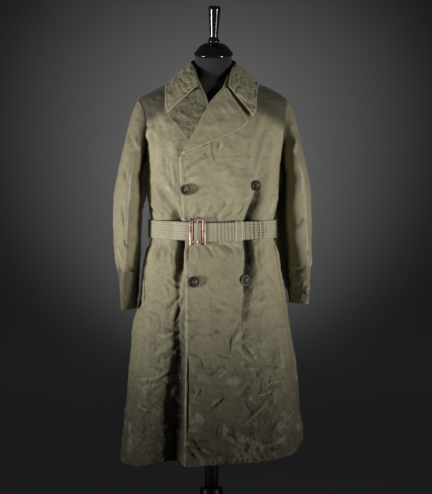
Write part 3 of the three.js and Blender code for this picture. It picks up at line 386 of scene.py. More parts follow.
gather_rng = np.random.default_rng(11)
GATHERS = [(k, gather_rng.uniform(0, 360), gather_rng.uniform(0.5, 1)) for k in (11, 17, 23, 31, 38)]


def relief(angle, z, under=False):
    """What wear and the belt have done to the cloth: creases, gathers at the waist, and a light crumple."""
    point = on_coat(angle, z, 0.0, under)
    faces_front = np.clip(1.6 * cos(angle), -1, 1)
    strong = 1.7 + 0.9 * ramp(z, 820, 720)
    total = strong * crease_height(FRONT_CREASES, point[..., 0], z) * np.clip(faces_front, 0, 1)
    total += strong * crease_height(BACK_CREASES, point[..., 0], z) * np.clip(-faces_front, 0, 1)
    total = 5 * np.tanh(total / 5)
    off = np.abs(z - WAIST + 4 * cos(angle))
    pulled = ramp(off, 8, 30) * np.exp(-np.clip(off - 28, 0, None) / 26)
    wave = sum(share * cos(k * angle + turn) for k, turn, share in GATHERS) / 2
    total += 1.5 * pulled * wave
    total += pinch_depth(angle, z)
    crushed = 4.6 * crumple(point * (1, 1, 0.7), 80, 3.1) + 4.0 * crumple(point * (1, 1, 1.3), 34, 8.4)
    total += (0.7 + 0.9 * ramp(z, 800, 480)) * crushed
    return total * ramp(z, 1500, 1462)


def grid_normals(grid, looped=False):
    ahead = np.roll(grid, -1, 1) if looped else np.concatenate([grid[:, 1:], grid[:, -1:]], 1)
    behind = np.roll(grid, 1, 1) if looped else np.concatenate([grid[:, :1], grid[:, :-1]], 1)
    up = np.concatenate([grid[1:], grid[-1:]]) - np.concatenate([grid[:1], grid[:-1]])
    return unit(np.cross(ahead - behind, up))


def moved_out(grid, far):
    return grid + grid_normals(grid) * far[..., None]


def run_lengths(grid):
    """How far each point is along its row and along its column, in millimetres."""
    across = np.linalg.norm(np.diff(grid, axis=1), axis=-1)
    up = np.linalg.norm(np.diff(grid, axis=0), axis=-1)
    u = np.concatenate([np.zeros((grid.shape[0], 1)), np.cumsum(across, 1)], 1)
    v = np.concatenate([np.zeros((1, grid.shape[1])), np.cumsum(up, 0)], 0)
    return u, v


def from_edges(u, v):
    """How far each point is from each edge of its grid."""
    return {"start": u, "end": u[:, -1:] - u, "foot": v, "top": v[-1:] - v}


def new_piece(name, points, faces):
    """A smooth mesh of points in millimetres."""
    mesh = bpy.data.meshes.new(name)
    mesh.from_pydata((points * 0.001).tolist(), [], faces)
    mesh.shade_smooth()
    piece = bpy.data.objects.new(name, mesh)
    scene.collection.objects.link(piece)
    return piece


def sewn_wall(name, outer, thick, wear_and_shade, edges="", looped=False, inner=None, rub=1.0):
    """A closed wall of cloth under a grid of outer points, its cut edges rounded over. The edges that are
    finished (start, end, foot, top) carry their distance for the rubbed margin, whose breadth goes with rub."""
    rows, columns = outer.shape[:2]
    if inner is None:
        inner = outer - grid_normals(outer, looped) * thick
    u, v = run_lengths(outer)
    distances = from_edges(u, v)
    edge = np.full((rows, columns), 99.0)
    for side in edges.split():
        edge = np.minimum(edge, distances[side])
    index = np.arange(rows * columns).reshape(rows, columns)
    if looped:
        index = np.concatenate([index, index[:, :1]], 1)
        rims = [index[0][:-1], index[-1][::-1][:-1]]
    else:
        rims = [np.r_[index[0], index[1:, -1], index[-1, -2::-1], index[-2:0:-1, 0]]]
    quads = np.stack([index[:-1, :-1], index[:-1, 1:], index[1:, 1:], index[1:, :-1]], -1).reshape(-1, 4)
    count = rows * columns
    points = [outer.reshape(-1, 3), inner.reshape(-1, 3)]
    faces = [quads, quads[:, ::-1] + count]
    for rim in rims:
        face, lining = points[0][rim], points[1][rim]
        step = points[0][np.roll(rim, -1)] - points[0][np.roll(rim, 1)]
        new = sum(map(len, points)) + np.arange(len(rim))
        points.append((face + lining) / 2 + unit(np.cross(step, face - lining)) * thick * 0.42)
        following, new_following = np.roll(rim, -1), np.roll(new, -1)
        faces.append(np.stack([rim, new, new_following, following], -1))
        faces.append(np.stack([new, rim + count, following + count, new_following], -1))
    points, faces = np.concatenate(points), np.concatenate(faces)
    a, b, c, d = (points[faces[:, i]] for i in range(4))
    if (a * (np.cross(b, c) + np.cross(c, d))).sum() < 0:
        faces = faces[:, ::-1]
    piece = new_piece(name, points, faces.tolist())
    source = np.concatenate([np.arange(count), np.arange(count), *rims])
    # The cloth's colour follows this relief: pale on ridges, from wear and as painted light, and dark in
    # hollows and deep folds, as painted shade.
    values = {
        "edge": edge.reshape(-1)[source] * 0.001 / rub,
        "wear_and_shade": wear_and_shade.reshape(-1)[source],
        "inside": np.r_[np.zeros(count), np.ones(count), np.full(len(source) - 2 * count, 0.3)],
    }
    mesh = piece.data
    for key, data in values.items():
        mesh.attributes.new(key, "FLOAT", "POINT").data.foreach_set("value", data.astype(np.float32))
    flat = np.stack([u.reshape(-1), v.reshape(-1)], -1)[source] * 0.001
    corners = np.empty(len(mesh.loops), np.int32)
    mesh.loops.foreach_get("vertex_index", corners)
    mesh.uv_layers.new(name="cloth").data.foreach_set("uv", flat[corners].astype(np.float32).reshape(-1))
    return piece


class Wire:
    """A value carried by a shader socket, on which ordinary arithmetic works."""

    def __init__(self, finish, socket):
        self.finish, self.socket = finish, socket

    def maths(self, operation, first, second=0.0):
        return self.finish.node("ShaderNodeMath", {"operation": operation}, {0: first, 1: second})

    def __add__(self, other):
        return self.maths("ADD", self, other)

    def __sub__(self, other):
        return self.maths("SUBTRACT", self, other)

    def __rsub__(self, other):
        return self.maths("SUBTRACT", other, self)

    def __mul__(self, other):
        return self.maths("MULTIPLY", self, other)

    def __abs__(self):
        return self.maths("ABSOLUTE", self)

    def sine(self):
        return self.maths("SINE", self)

    __radd__, __rmul__ = __add__, __mul__


class Finish:
    """A material, built node by node."""

    def __init__(self, name):
        self.material = bpy.data.materials.new(name)
        self.material.use_nodes = True
        self.tree = self.material.node_tree
        self.shader = self.tree.nodes["Principled BSDF"]
        self.place = self.node("ShaderNodeTexCoord", out="Object")

    def plug(self, socket, value):
        if isinstance(value, Wire):
            self.tree.links.new(value.socket, socket)
        else:
            socket.default_value = value

    def node(self, kind, settings=None, sockets=None, out=0):
        made = self.tree.nodes.new(kind)
        for key, value in (settings or {}).items():
            setattr(made, key, value)
        for key, value in (sockets or {}).items():
            self.plug(made.inputs[key], value)
        return Wire(self, made.outputs[out])

    def attribute(self, name):
        return self.node("ShaderNodeAttribute", {"attribute_name": name}, out="Fac")

    def part(self, vector, axis):
        return self.node("ShaderNodeSeparateXYZ", None, {0: vector}, axis)

    def noise(self, place, scale, detail=3.0, rough=0.55, out="Fac"):
        sockets = {"Vector": place, "Scale": scale, "Detail": detail, "Roughness": rough}
        return self.node("ShaderNodeTexNoise", None, sockets, out)

    def between(self, value, low, high):
        return self.node("ShaderNodeMapRange", {"interpolation_type": "SMOOTHSTEP"},
                         {"Value": value, "From Min": low, "From Max": high})

    def mixed(self, share, first, second):
        return self.node("ShaderNodeMix", {"data_type": "RGBA"}, {"Factor": share, 6: first, 7: second}, 2)

    def finished(self, height, **sockets):
        bump = {"Strength": 1.0, "Distance": 1.0, "Height": height}
        sockets["Normal"] = self.node("ShaderNodeBump", None, bump)
        for key, value in sockets.items():
            self.plug(self.shader.inputs[key.replace("_", " ")], value)
        return self.material


def coat_cloth(name, base, pale, dark, crushed=1.0, shoulder_shade=0.0, soil_and_shade_from=1.02, soil_and_shade_to=0.5):
    """Twill with a dull proofed face: mottled, pale where edges and ridges are rubbed, with painted light on
    ridges and puckers, dark in the hollows and on each shoulder's top as painted shade, darker towards the hem
    from dirt and painted shade, and crushed into small sharp creases, most of all low down."""
    f = Finish(name)
    uv = f.node("ShaderNodeUVMap", {"uv_map": "cloth"})
    across, along = f.part(uv, "X"), f.part(uv, "Y")
    aside, height = abs(f.part(f.place, "X")), f.part(f.place, "Z")
    low = f.between(height, soil_and_shade_from, soil_and_shade_to)
    # A mask over the fronts of the shoulder tops, where the cloth is painted dark as shade and is rubbed less.
    high = f.between(height + (aside - 0.13) * 0.6, 1.355, 1.4) * f.between(aside, 0.06, 0.09)
    high = high * f.between(f.part(f.place, "Y"), 0.05, -0.01)
    wander = f.noise(f.place, 16.0, 2.0, 0.5, "Color")
    drift = f.node("ShaderNodeVectorMath", {"operation": "SCALE"}, {0: wander, "Scale": 0.045})
    drifted = f.node("ShaderNodeVectorMath", {"operation": "ADD"}, {0: f.place, 1: drift})
    sharp = abs(f.noise(drifted, 21.0, 2.0, 0.45) - 0.5) * 0.022
    small = abs(f.noise(drifted, 60.0, 2.0, 0.5) - 0.5) * 0.005
    twill = ((across + along) * (2 * math.pi / 0.0016)).sine() * 0.00005
    thread = f.noise(uv, 900, 2.0) * 0.00008
    cloudy = f.noise(f.place, 7.0, 4.0)
    blotch = f.noise(drifted, 30.0, 6.0, 0.68)
    grain = f.noise(f.place, 240.0, 4.0, 0.65)
    wear_and_shade, edge = f.attribute("wear_and_shade"), f.attribute("edge")
    pucker = ((across + along * 0.7) * (2 * math.pi / 0.0078) + f.noise(f.place, 40.0, 2.0) * 6).sine()
    pucker = pucker * (1 - f.between(edge, 0.012, 0.019)) * (1 - f.between(height, 0.43, 0.46))
    # Pale on cut edges from wear, on ridges from wear and as painted light, on the puckers' crests as painted
    # light, and at random with the mottle.
    rubbed = f.between(wear_and_shade, 0.8, 4.0) * 0.32 + (1 - f.between(edge, 0.0006, 0.0042)) * 0.75
    rubbed = rubbed + f.between(blotch, 0.53, 0.74) * (0.24 - low * 0.15)
    rubbed = rubbed + f.between(grain, 0.52, 0.72) * 0.2 + f.between(pucker, 0.1, 0.9) * 0.26
    # Painted shade: dark in the hollows of the relief and in the puckers' troughs; the mottle also darkens it
    # at random.
    hollow = f.between(0 - wear_and_shade, 1.0, 7.0) * 0.7 + (1 - f.between(blotch, 0.28, 0.48)) * 0.34
    hollow = hollow + (1 - f.between(grain, 0.3, 0.48)) * 0.22 + f.between(0 - pucker, 0.1, 0.9) * 0.3
    # Darker lower down: partly dirt, partly painted shade for the light falling off towards the hem.
    darkened_low = low * (0.74 + 0.26 * f.between(cloudy, 0.25, 0.7))
    colour = f.mixed(f.between(cloudy, 0.25, 0.75) * 0.4, base, tuple(0.88 * c for c in base[:3]) + (1,))
    colour = f.mixed(darkened_low, colour, dark)
    colour = f.mixed(rubbed * (1 - high * (0.8 * shoulder_shade)), colour, pale)
    colour = f.mixed(hollow, colour, dark)
    # Painted shade on the shoulder tops.
    colour = f.mixed(high * (0.86 * shoulder_shade), colour, (0.050, 0.044, 0.028, 1))
    # Painted shadow: where the relief sinks deepest, in the pinches beside the belt and in the pleat, the
    # cloth is painted near black.
    colour = f.mixed(f.between(0 - wear_and_shade, 5.5, 12.0) * 0.88, colour, (0.008, 0.007, 0.005, 1))
    colour = f.mixed(f.attribute("inside") * 0.6, colour, dark)
    crease = (sharp + small) * (0.25 + low * 1.4) * crushed + pucker * 0.0003
    return f.finished(twill + thread + crease + blotch * 0.0009, Base_Color=colour,
                      Roughness=f.between(blotch, 0.2, 0.9) * 0.16 + 0.62,
                      Specular_IOR_Level=0.34, Sheen_Weight=0.1, Sheen_Roughness=0.4)


def fit(piece, finish, node):
    """Gives a piece its finish and puts it in the place of a solid."""
    piece.data.materials.append(finish)
    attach(piece, "root")
    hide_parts(node)
    return piece


OLIVE, OLIVE_PALE, OLIVE_DARK = (0.335, 0.300, 0.182, 1), (0.53, 0.49, 0.345, 1), (0.105, 0.094, 0.056, 1)
olive_cloth = coat_cloth("olive_cloth", OLIVE, OLIVE_PALE, OLIVE_DARK, shoulder_shade=1.0)

# Rows of points lie closer together at the hem, and at the armhole's ends, where they follow its curve.
HEM_ROWS_TO = 448
LEVELS = np.r_[np.arange(HEM, HEM_ROWS_TO, 2.4), np.arange(HEM_ROWS_TO, ARMPIT, 3.9),
               ARMHOLE_MIDDLE - ARMHOLE_HALF * np.cos(np.linspace(0, math.pi, 60)),
               np.arange(SHOULDER + 2, NECK + 1, 3.0)]
LEVELS = np.minimum(LEVELS, NECK)
SEAM_TURN = 0.06  # half the gap at a seam, in degrees
FRONT_MARGIN, HEM_MARGIN = 12, 18  # how far inside the edge the stitching runs


def shares(count, *close):
    """Shares of a panel's breadth, closer together in each stretch given by its ends and how much closer."""
    at = np.linspace(0, 1, 2001)
    density = np.ones_like(at)
    for low, high, more in close:
        density += more * ramp(at, low - 0.04, low) * ramp(high + 0.04 - at, 0, 0.04)
    total = np.r_[0, np.cumsum((density[1:] + density[:-1]) / 2)]
    return np.interp(np.linspace(0, 1, count + 1), total / total[-1], at)


def body_panel(name, node, start, end, across, out_at=None, under=False, front_edge="", pinch=None):
    """A panel between two lines from hem to neck. Its columns are drawn over so that one follows a pinch."""
    z = LEVELS[:, None]
    angle = start(z) + (end(z) - start(z)) * across[None, :]
    if pinch:
        off = curve(pinch[0], 1)(LEVELS)[:, None] - angle
        near_waist = (LEVELS > WAIST - 199) & (LEVELS < WAIST + 101)
        column = np.abs(off[near_waist]).mean(0).argmin()
        middle = angle[:, column:column + 1]
        room = np.minimum(middle - angle[:, :1], angle[:, -1:] - middle)
        angle = angle + off[:, column:column + 1] * np.clip(1 - np.abs(angle - middle) / room, 0, 1)
    level = height_of(z, angle)
    height = relief(angle, level, under)
    grid = on_coat(angle, level, height if out_at is None else height + out_at(angle, level), under)
    u, v = run_lengths(grid)
    pucker = 1 + 0.45 * np.sin(v / 2.1 + 3 * np.sin(v / 17.0))
    for side, distance in (("start", u), ("end", u[:, -1:] - u)):
        stitched = 0.55 * pucker * bell(distance - FRONT_MARGIN, 2.6)
        grid = moved_out(grid, -(stitched if side == front_edge else 0.5 * bell(distance, 2.4)))
    pucker = 1 + 0.45 * np.sin(u / 2.3 + 3 * np.sin(u / 15.0))
    grid = moved_out(grid, -0.55 * pucker * bell(v - HEM_MARGIN, 2.6))
    gathered = np.sin(u / 3.3 + 2.5 * np.sin(u / 13.0)) * bell(v - HEM_MARGIN / 2, 7)
    grid = moved_out(grid, 1.4 * gathered)
    # Its colour follows this shade: painted light on the hem gathers' crests and painted shade in their
    # troughs.
    shade = np.clip(height + 3.4 * gathered - pinch_depth(angle, level), -3.5, 8)
    # The pleat beside the left front's edge is painted near black as shade.
    if under:
        share = np.clip((PLEAT_TOP - level) / (PLEAT_TOP - PLEAT_FOOT), 0, 1)
        off = np.radians(angle - PLEAT_TURN - (PLEAT_FOOT_TURN - PLEAT_TURN) * share) * SKIRT_RADIUS
        deep = ramp(level, 880, 600) * bell(off, 17)
        shade = shade * (1 - deep) - 11 * deep
    shade = shade + pinch_depth(angle, level)
    return fit(sewn_wall(name, grid, CLOTH, shade, front_edge), olive_cloth, node), grid


left_front, left_front_grid = body_panel(
    "left_front", "front_left", lambda z: angle_at(left_edge_x(z), z),
    lambda z: 90 - SEAM_TURN - armhole_reach(z, 13), shares(116, (0, 0.045, 1.3), (0.57, 0.64, 2.6)),
    front_edge="start", pinch=LEFT_PINCH)
right_front, right_front_grid = body_panel(
    "right_front", "front_right", lambda z: -90 + SEAM_TURN + armhole_reach(z, 16),
    lambda z: angle_at(right_edge_x(z), z), shares(112, (0.39, 0.48, 2.6)), tuck_in, True,
    front_edge="end", pinch=RIGHT_PINCH)
back_panel, back_grid = body_panel(
    "back_panel", "back", lambda z: 90 + SEAM_TURN + armhole_reach(z, 27),
    lambda z: 270 - SEAM_TURN - armhole_reach(z, 27), shares(124))

# ================================================================ lapels
# Each front turns back on its roll line in a lapel, faced with the shell cloth. The left lapel's corner shows
# whole; the right one's lies under the collar. Both are stitched 11 mm inside their edges.
LEFT_LAPEL = [(1264, -74, 1262), (1290, -32, 1279), (1318, 27, 1305), (1346, 66, 1322), (1366, 90, 1336),
              (1380, 98, 1350), (1396, 92, 1365), (1420, 68, 1402), (1446, 44, 1441)]
RIGHT_LAPEL = [(1240, 0, 1236), (1280, -37, 1267), (1318, -66, 1300), (1358, -93, 1334), (1394, -116, 1367),
               (1422, -98, 1394), (1440, -58, 1430)]
LEFT_LAPEL_CREASES = [
    (20, 1390, 50, 1346, 8, -1.8, 3), (-20, 1330, 30, 1352, 10, 1.6, 4), (40, 1410, 70, 1372, 7, 1.8, 3),
    (-50, 1290, 0, 1308, 8, -1.2, 3), (0, 1376, 20, 1340, 9, 1.4, 0),
]
RIGHT_LAPEL_CREASES = [
    (-104, 1366, -70, 1340, 6, -2.4, 3), (-96, 1384, -56, 1352, 7, 2.2, 3),
    (-86, 1330, -60, 1352, 5, -2.0, 2), (-70, 1400, -44, 1366, 6, -2.2, 3),
    (-60, 1312, -36, 1334, 6, 1.8, 2), (-40, 1290, -20, 1330, 7, -1.6, 2),
]
LAPEL_MARGIN = 11
crushed_cloth = coat_cloth("crushed_cloth", OLIVE, OLIVE_PALE, OLIVE_DARK, crushed=2.6)


def lapel(name, node, table, roll_x, creases, air, under):
    """A lapel, by rows of the roll line's height, the edge's x and the edge's height."""
    rows = np.linspace(0, len(table) - 1, 84)[:, None]
    numbered = [(i, *row) for i, row in enumerate(table)]
    roll, edge_x, edge_z = (curve(numbered, column)(rows) for column in (1, 2, 3))
    across = np.r_[0, 0.012, 0.03, 0.055, np.linspace(0.08, 0.86, 34), np.linspace(0.88, 1, 9)][None, :]
    z = roll + (edge_z - roll) * across
    x = roll_x(roll) - 0.6
    angle = angle_at(x + (edge_x - x) * across, z)
    rest = CLOTH + air + (tuck_in(angle, z) if under else 0)
    width = np.abs(edge_x - x) * across
    rolled = 1 - np.exp(-width / 3.0) + 0.35 * bell(width - 9, 6)
    flat = on_coat(angle, z, 0.0, under)
    height = crease_height(creases, flat[..., 0], z) * (1.8 if under else 1.2)
    height += (5.0 if under else 1.6) * crumple(flat, 26 if under else 34, 5.5)
    u, v = run_lengths(flat)
    stitched = 0.5 * bell(u[:, -1:] - u - LAPEL_MARGIN, 2.4) * (1 + 0.5 * np.sin(v / 2.1))
    out = rest * rolled + np.clip(height, -0.9, 3) * ramp(across, 0.02, 0.3) - stitched
    grid = on_coat(angle, z, out, under)
    wall = sewn_wall(name, grid, CLOTH, height - 0.4, "end foot", rub=0.8)
    return fit(wall, crushed_cloth if under else olive_cloth, node), grid


left_lapel, left_lapel_grid = lapel(
    "left_lapel", "lapel_left", LEFT_LAPEL, left_edge_x, LEFT_LAPEL_CREASES, LAYER, False)
right_lapel, right_lapel_grid = lapel(
    "right_lapel", "lapel_right", RIGHT_LAPEL, lambda z: right_edge_x(z) - 2, RIGHT_LAPEL_CREASES,
    LAYER + 0.8, True)

# ================================================================ collar
# A wide turn-down collar in two thicknesses of shell cloth: the fall, folded over and lying on the shoulders
# and lapels, and the stand inside it, sewn to the neck seam. The fall's outer edge is turned and stitched.
COLLAR = [  # the fold's x, y, z, then the outer edge: its angle, or its x in front, and its height
    (-38, -86, 1450, None, -119, 1371), (-41, -70, 1472, None, -125, 1392),
    (-47, -46, 1496, None, -126, 1417), (-53, -20, 1513, None, -127, 1438), (-57, 6, 1522, -94, 0, 1459),
    (-51, 34, 1529, -120, 0, 1441), (-34, 57, 1533, -148, 0, 1428), (5, 68, 1535, -180, 0, 1422),
    (44, 57, 1533, -211, 0, 1428), (61, 34, 1529, -239, 0, 1441), (67, 6, 1522, -266, 0, 1460),
    (64, -20, 1512, None, 127, 1440), (57, -46, 1495, None, 123, 1414), (51, -68, 1470, None, 122, 1385),
    (48, -82, 1449, None, 113, 1361),
]
COLLAR_CREASES = [  # where they start and end along the collar and down the fall, breadth, height
    (0.06, 0.30, 0.20, 0.46, 5, -1.8), (0.04, 0.50, 0.22, 0.66, 6, 2.0), (0.08, 0.72, 0.20, 0.80, 5, -1.8),
    (0.02, 0.20, 0.14, 0.24, 5, 1.6), (0.12, 0.86, 0.24, 0.62, 6, 1.6), (0.16, 0.2, 0.26, 0.5, 6, -1.6),
    (0.86, 0.15, 0.80, 0.85, 5, -2.0), (0.90, 0.20, 0.84, 0.90, 6, 2.0), (0.95, 0.30, 0.90, 0.85, 5, -1.8),
    (0.78, 0.30, 0.74, 0.90, 6, 1.8), (0.98, 0.25, 0.95, 0.70, 5, 1.4), (0.35, 0.3, 0.40, 0.8, 8, -1.6),
    (0.48, 0.2, 0.52, 0.8, 9, 1.6), (0.62, 0.3, 0.66, 0.8, 8, -1.6),
]

COLLAR_LAST = len(COLLAR) - 1
COLLAR_LONG, COLLAR_DEEP, COLLAR_MARGIN = 700, 110, 9
COLLAR_MIDDLE_X = 5


def collar_lift(way):
    """The collar lies on the lapels at both ends and on the coat alone behind."""
    return LAYER + ramp(np.minimum(way, 1 - way), 0.24, 0.08) * (LAYER + CLOTH + 0.3)


def clear_of(points, out):
    """Keeps points at least so far outside the coat, moving them out square to its surface."""
    angle = np.degrees(np.arctan2(points[..., 0], -points[..., 1]))
    z = np.minimum(points[..., 2], NECK)
    surface = skin(angle, z)
    away = points * (1, 1, 0)
    far = np.linalg.norm(away, axis=-1)
    away /= far[..., None]
    normal = on_coat(angle, z, 1.0) - on_coat(angle, z)
    level = np.maximum(0.36, (normal * away).sum(-1))
    least = np.hypot(surface[..., 0], surface[..., 1]) + out / level
    short = np.where((points[..., 2] > NECK) | (far >= least), 0, least - far)
    return points + normal * (short * level)[..., None]


stations = []
for i, (x, y, z, turn, edge_x, edge_z) in enumerate(COLLAR):
    turn = angle_at(edge_x, edge_z) if turn is None else turn
    stations.append((i, x, y, z, *on_coat(turn, edge_z, collar_lift(i / COLLAR_LAST) + CLOTH)))


def along_collar(way, columns, free=False):
    return np.stack([curve(stations, column, free=free)(way * COLLAR_LAST) for column in columns], -1)


def to_neck(line):
    """Level directions from a line round the collar in to the middle of the neck."""
    return unit(np.stack([COLLAR_MIDDLE_X - line[:, 0], -line[:, 1], 0 * line[:, 0]], -1))


along = np.linspace(0, 1, 210)
fold_line, fall_edge = along_collar(along, (1, 2, 3), True), along_collar(along, (4, 5, 6))
down = np.r_[np.linspace(0, 0.86, 32), np.linspace(0.88, 1, 8)][:, None, None]
swell = np.sin(math.pi * np.sqrt(down)) * 3 * ramp(np.minimum(along, 1 - along), 0, 0.15)[None, :, None]
fall = fold_line + (fall_edge - fold_line) * down - to_neck(fold_line) * swell
fall = clear_of(fall, np.where(down[..., 0] > 0, collar_lift(along) + CLOTH, 0.0))
fall_normals = -grid_normals(fall)
if (fall_normals * (fall - (COLLAR_MIDDLE_X, 0, 1460))).sum() < 0:
    fall_normals = -fall_normals
lie = down[..., 0] * np.ones_like(along)
way = along * np.ones_like(lie)
left_end = ramp(way, 0.6, 0.85)
fall_creases = [(x0 * COLLAR_LONG, y0 * COLLAR_DEEP, x1 * COLLAR_LONG, y1 * COLLAR_DEEP, wide, high, 2)
                for x0, y0, x1, y1, wide, high in COLLAR_CREASES]
fall_height = crease_height(fall_creases, way * COLLAR_LONG, lie * COLLAR_DEEP) * (0.8 + 0.5 * left_end)
fall_height += (2.0 + 3.4 * left_end) * crumple(fall, 27, 6.5)
fall_u, fall_v = run_lengths(fall)
fall_margin = np.minimum(fall_v[-1:] - fall_v, np.minimum(fall_u, fall_u[:, -1:] - fall_u))
fall_out = np.clip(fall_height, -0.8, 3) * ramp(lie, 0.0, 0.2)
fall_out = fall_out - 0.5 * bell(fall_margin - COLLAR_MARGIN, 2.2) * (1 + 0.5 * np.sin(fall_u / 2.2))
fall_outer = fall + fall_normals * (fall_out + CLOTH)[..., None]
# The relief that the fall's colour follows is lowered at its left end, painting that end darker as shade.
collar_leaf = fit(sewn_wall("collar_leaf", fall_outer, CLOTH, fall_height - 1.2 * left_end, "top start end",
                            inner=fall_outer - fall_normals * CLOTH, rub=0.7), crushed_cloth, "collar_fall")

BAND_THICK, BAND_START, BAND_SHARE = 1.4, 0.22, 0.56  # it takes up the middle share of the collar's length
band_seam = on_coat(-42 - 270 * along, np.full_like(along, NECK)) * (1, 1, 0) + (0, 0, NECK + 0.4)
band_top = along_collar(BAND_START + BAND_SHARE * along, (1, 2, 3), True)
band_in = to_neck(band_top)
band_top = band_top + band_in * 3.2 - (0, 0, 2.0)
band = band_seam + (band_top - band_seam) * np.linspace(0, 1, 16)[:, None, None]
collar_band = fit(sewn_wall("collar_band", band, BAND_THICK, 0.6 * crumple(band, 30, 2.2),
                            inner=band + band_in * BAND_THICK), olive_cloth, "collar_stand")

# ================================================================ sleeves
# One-piece sleeves set into the armholes. Worn flat and packed, each has a pressed edge that faces forwards,
# with its back curled in behind the coat. A stitched patch closes the vent at each cuff.
SLEEVES = {  # height, outer side, inner side, crease, front, back, and the curl behind the coat
    -1: [(826, 256, 213, 250, -72, 66, 4), (870, 259, 208, 249, -76, 70, 8),
         (905, 263, 205, 247, -78, 72, 12), (950, 271, 203, 243, -80, 75, 14),
         (1005, 277, 200, 238, -82, 78, 14), (1076, 280, 198, 234, -85, 82, 16),
         (1140, 278, 196, 230, -88, 84, 36), (1200, 268, 196, 225, -88, 86, 42)],
    1: [(843, 274, 221, 266, -72, 66, 24), (880, 278, 221, 268, -76, 70, 44),
        (915, 280, 220, 270, -78, 72, 60), (955, 282, 219, 271, -80, 75, 68),
        (1005, 284, 217, 270, -82, 78, 82), (1076, 284, 212, 266, -85, 82, 84),
        (1140, 282, 210, 263, -88, 84, 76), (1200, 275, 210, 257, -88, 86, 54)],
}
BICEPS = 1200
SLEEVE_CREASES = {  # turn and height at each end, then breadth, height and bow
    -1: [(20, 1330, 60, 1290, 9, -3.0, 4), (60, 1310, 110, 1270, 8, 2.6, 5),
         (40, 1240, 80, 1180, 9, -2.6, 4), (95, 1230, 100, 1120, 7, 2.0, 3),
         (60, 1140, 84, 1040, 8, -2.4, 4), (100, 1100, 130, 1060, 8, -2.4, 3),
         (70, 1030, 110, 1000, 8, -2.6, 5), (40, 1010, 84, 960, 8, 2.6, 5), (96, 960, 140, 930, 8, -2.4, 4),
         (30, 960, 70, 930, 8, -2.4, 4), (50, 900, 88, 872, 7, 2.2, 3), (100, 880, 120, 842, 7, 1.8, 3)],
    1: [(20, 1340, 60, 1290, 9, -3.0, 4), (60, 1310, 110, 1260, 8, 2.6, 5),
        (40, 1230, 84, 1170, 9, -2.6, 4), (95, 1240, 105, 1130, 7, 2.0, 3),
        (60, 1120, 84, 1030, 8, -2.4, 4), (100, 1090, 130, 1050, 8, -2.4, 3),
        (60, 1010, 112, 980, 8, -2.8, 5), (40, 990, 90, 950, 8, 2.8, 5), (96, 950, 140, 930, 8, -2.4, 4),
        (40, 930, 80, 905, 8, -2.4, 4), (50, 900, 88, 880, 7, 2.2, 3), (66, 966, 92, 938, 4.5, 3.0, 4),
        (92, 938, 70, 908, 4.5, 2.8, -4), (72, 906, 98, 884, 4.5, 2.8, 4), (98, 884, 76, 860, 4.5, 2.6, -3)],
}
GIRTH = 62  # turns become lengths round the sleeve at this radius
BEHIND_CREASES = [(210, 1290), (215, 1240), (225, 1070), (215, 1040), (230, 1010), (220, 975), (225, 900)]


def sleeve_surface(side, turn, along):
    """A point round the sleeve (0 outer side, 90 front, 180 against the coat) and along it: 0 to 1 is the
    cap, from the armhole to the biceps, and 1 to 2 the arm, down to the cuff."""
    outer, inner, crease, front, back, curl = (curve(SLEEVES[side], column) for column in range(1, 7))
    cuff = SLEEVES[side][0][0]
    sideways, forwards = (np.sign(v) * np.abs(v) ** 1.16 for v in (cos(turn), sin(turn)))

    def section(z):
        breadth = np.where(sideways > 0, outer(z) - crease(z), crease(z) - inner(z))
        x = crease(z) + breadth * sideways - np.where(forwards < 0, curl(z) * forwards**2, 0)
        y = np.where(forwards > 0, front(z), -back(z)) * forwards
        return np.stack(np.broadcast_arrays(side * x, y, z), -1)

    swing = sin(turn) * (np.where(sin(turn) > 0, 13 if side > 0 else 16, 27) - 0.3)
    start = on_coat(side * (90 - swing), ARMHOLE_MIDDLE + (ARMHOLE_HALF - 1.2) * cos(turn), -0.4)
    end = section(np.full_like(turn, BICEPS))
    gap = np.linalg.norm(end - start, axis=-1, keepdims=True)
    leave = start + np.concatenate([side * (3 + 0.085 * gap), 0 * gap, -0.05 * gap], -1)
    arrive = end + np.concatenate([-side * 0.105 * gap, 0 * gap, 0.41 * gap], -1)
    t = np.clip(along, 0, 1)[..., None]
    cap = (1 - t) ** 3 * start + 3 * t * (1 - t) ** 2 * leave + 3 * t * t * (1 - t) * arrive + t**3 * end
    arm = section(BICEPS + (cuff - BICEPS) * np.clip(along - 1, 0, 1))
    return np.where(along[..., None] >= 1, arm, cap)


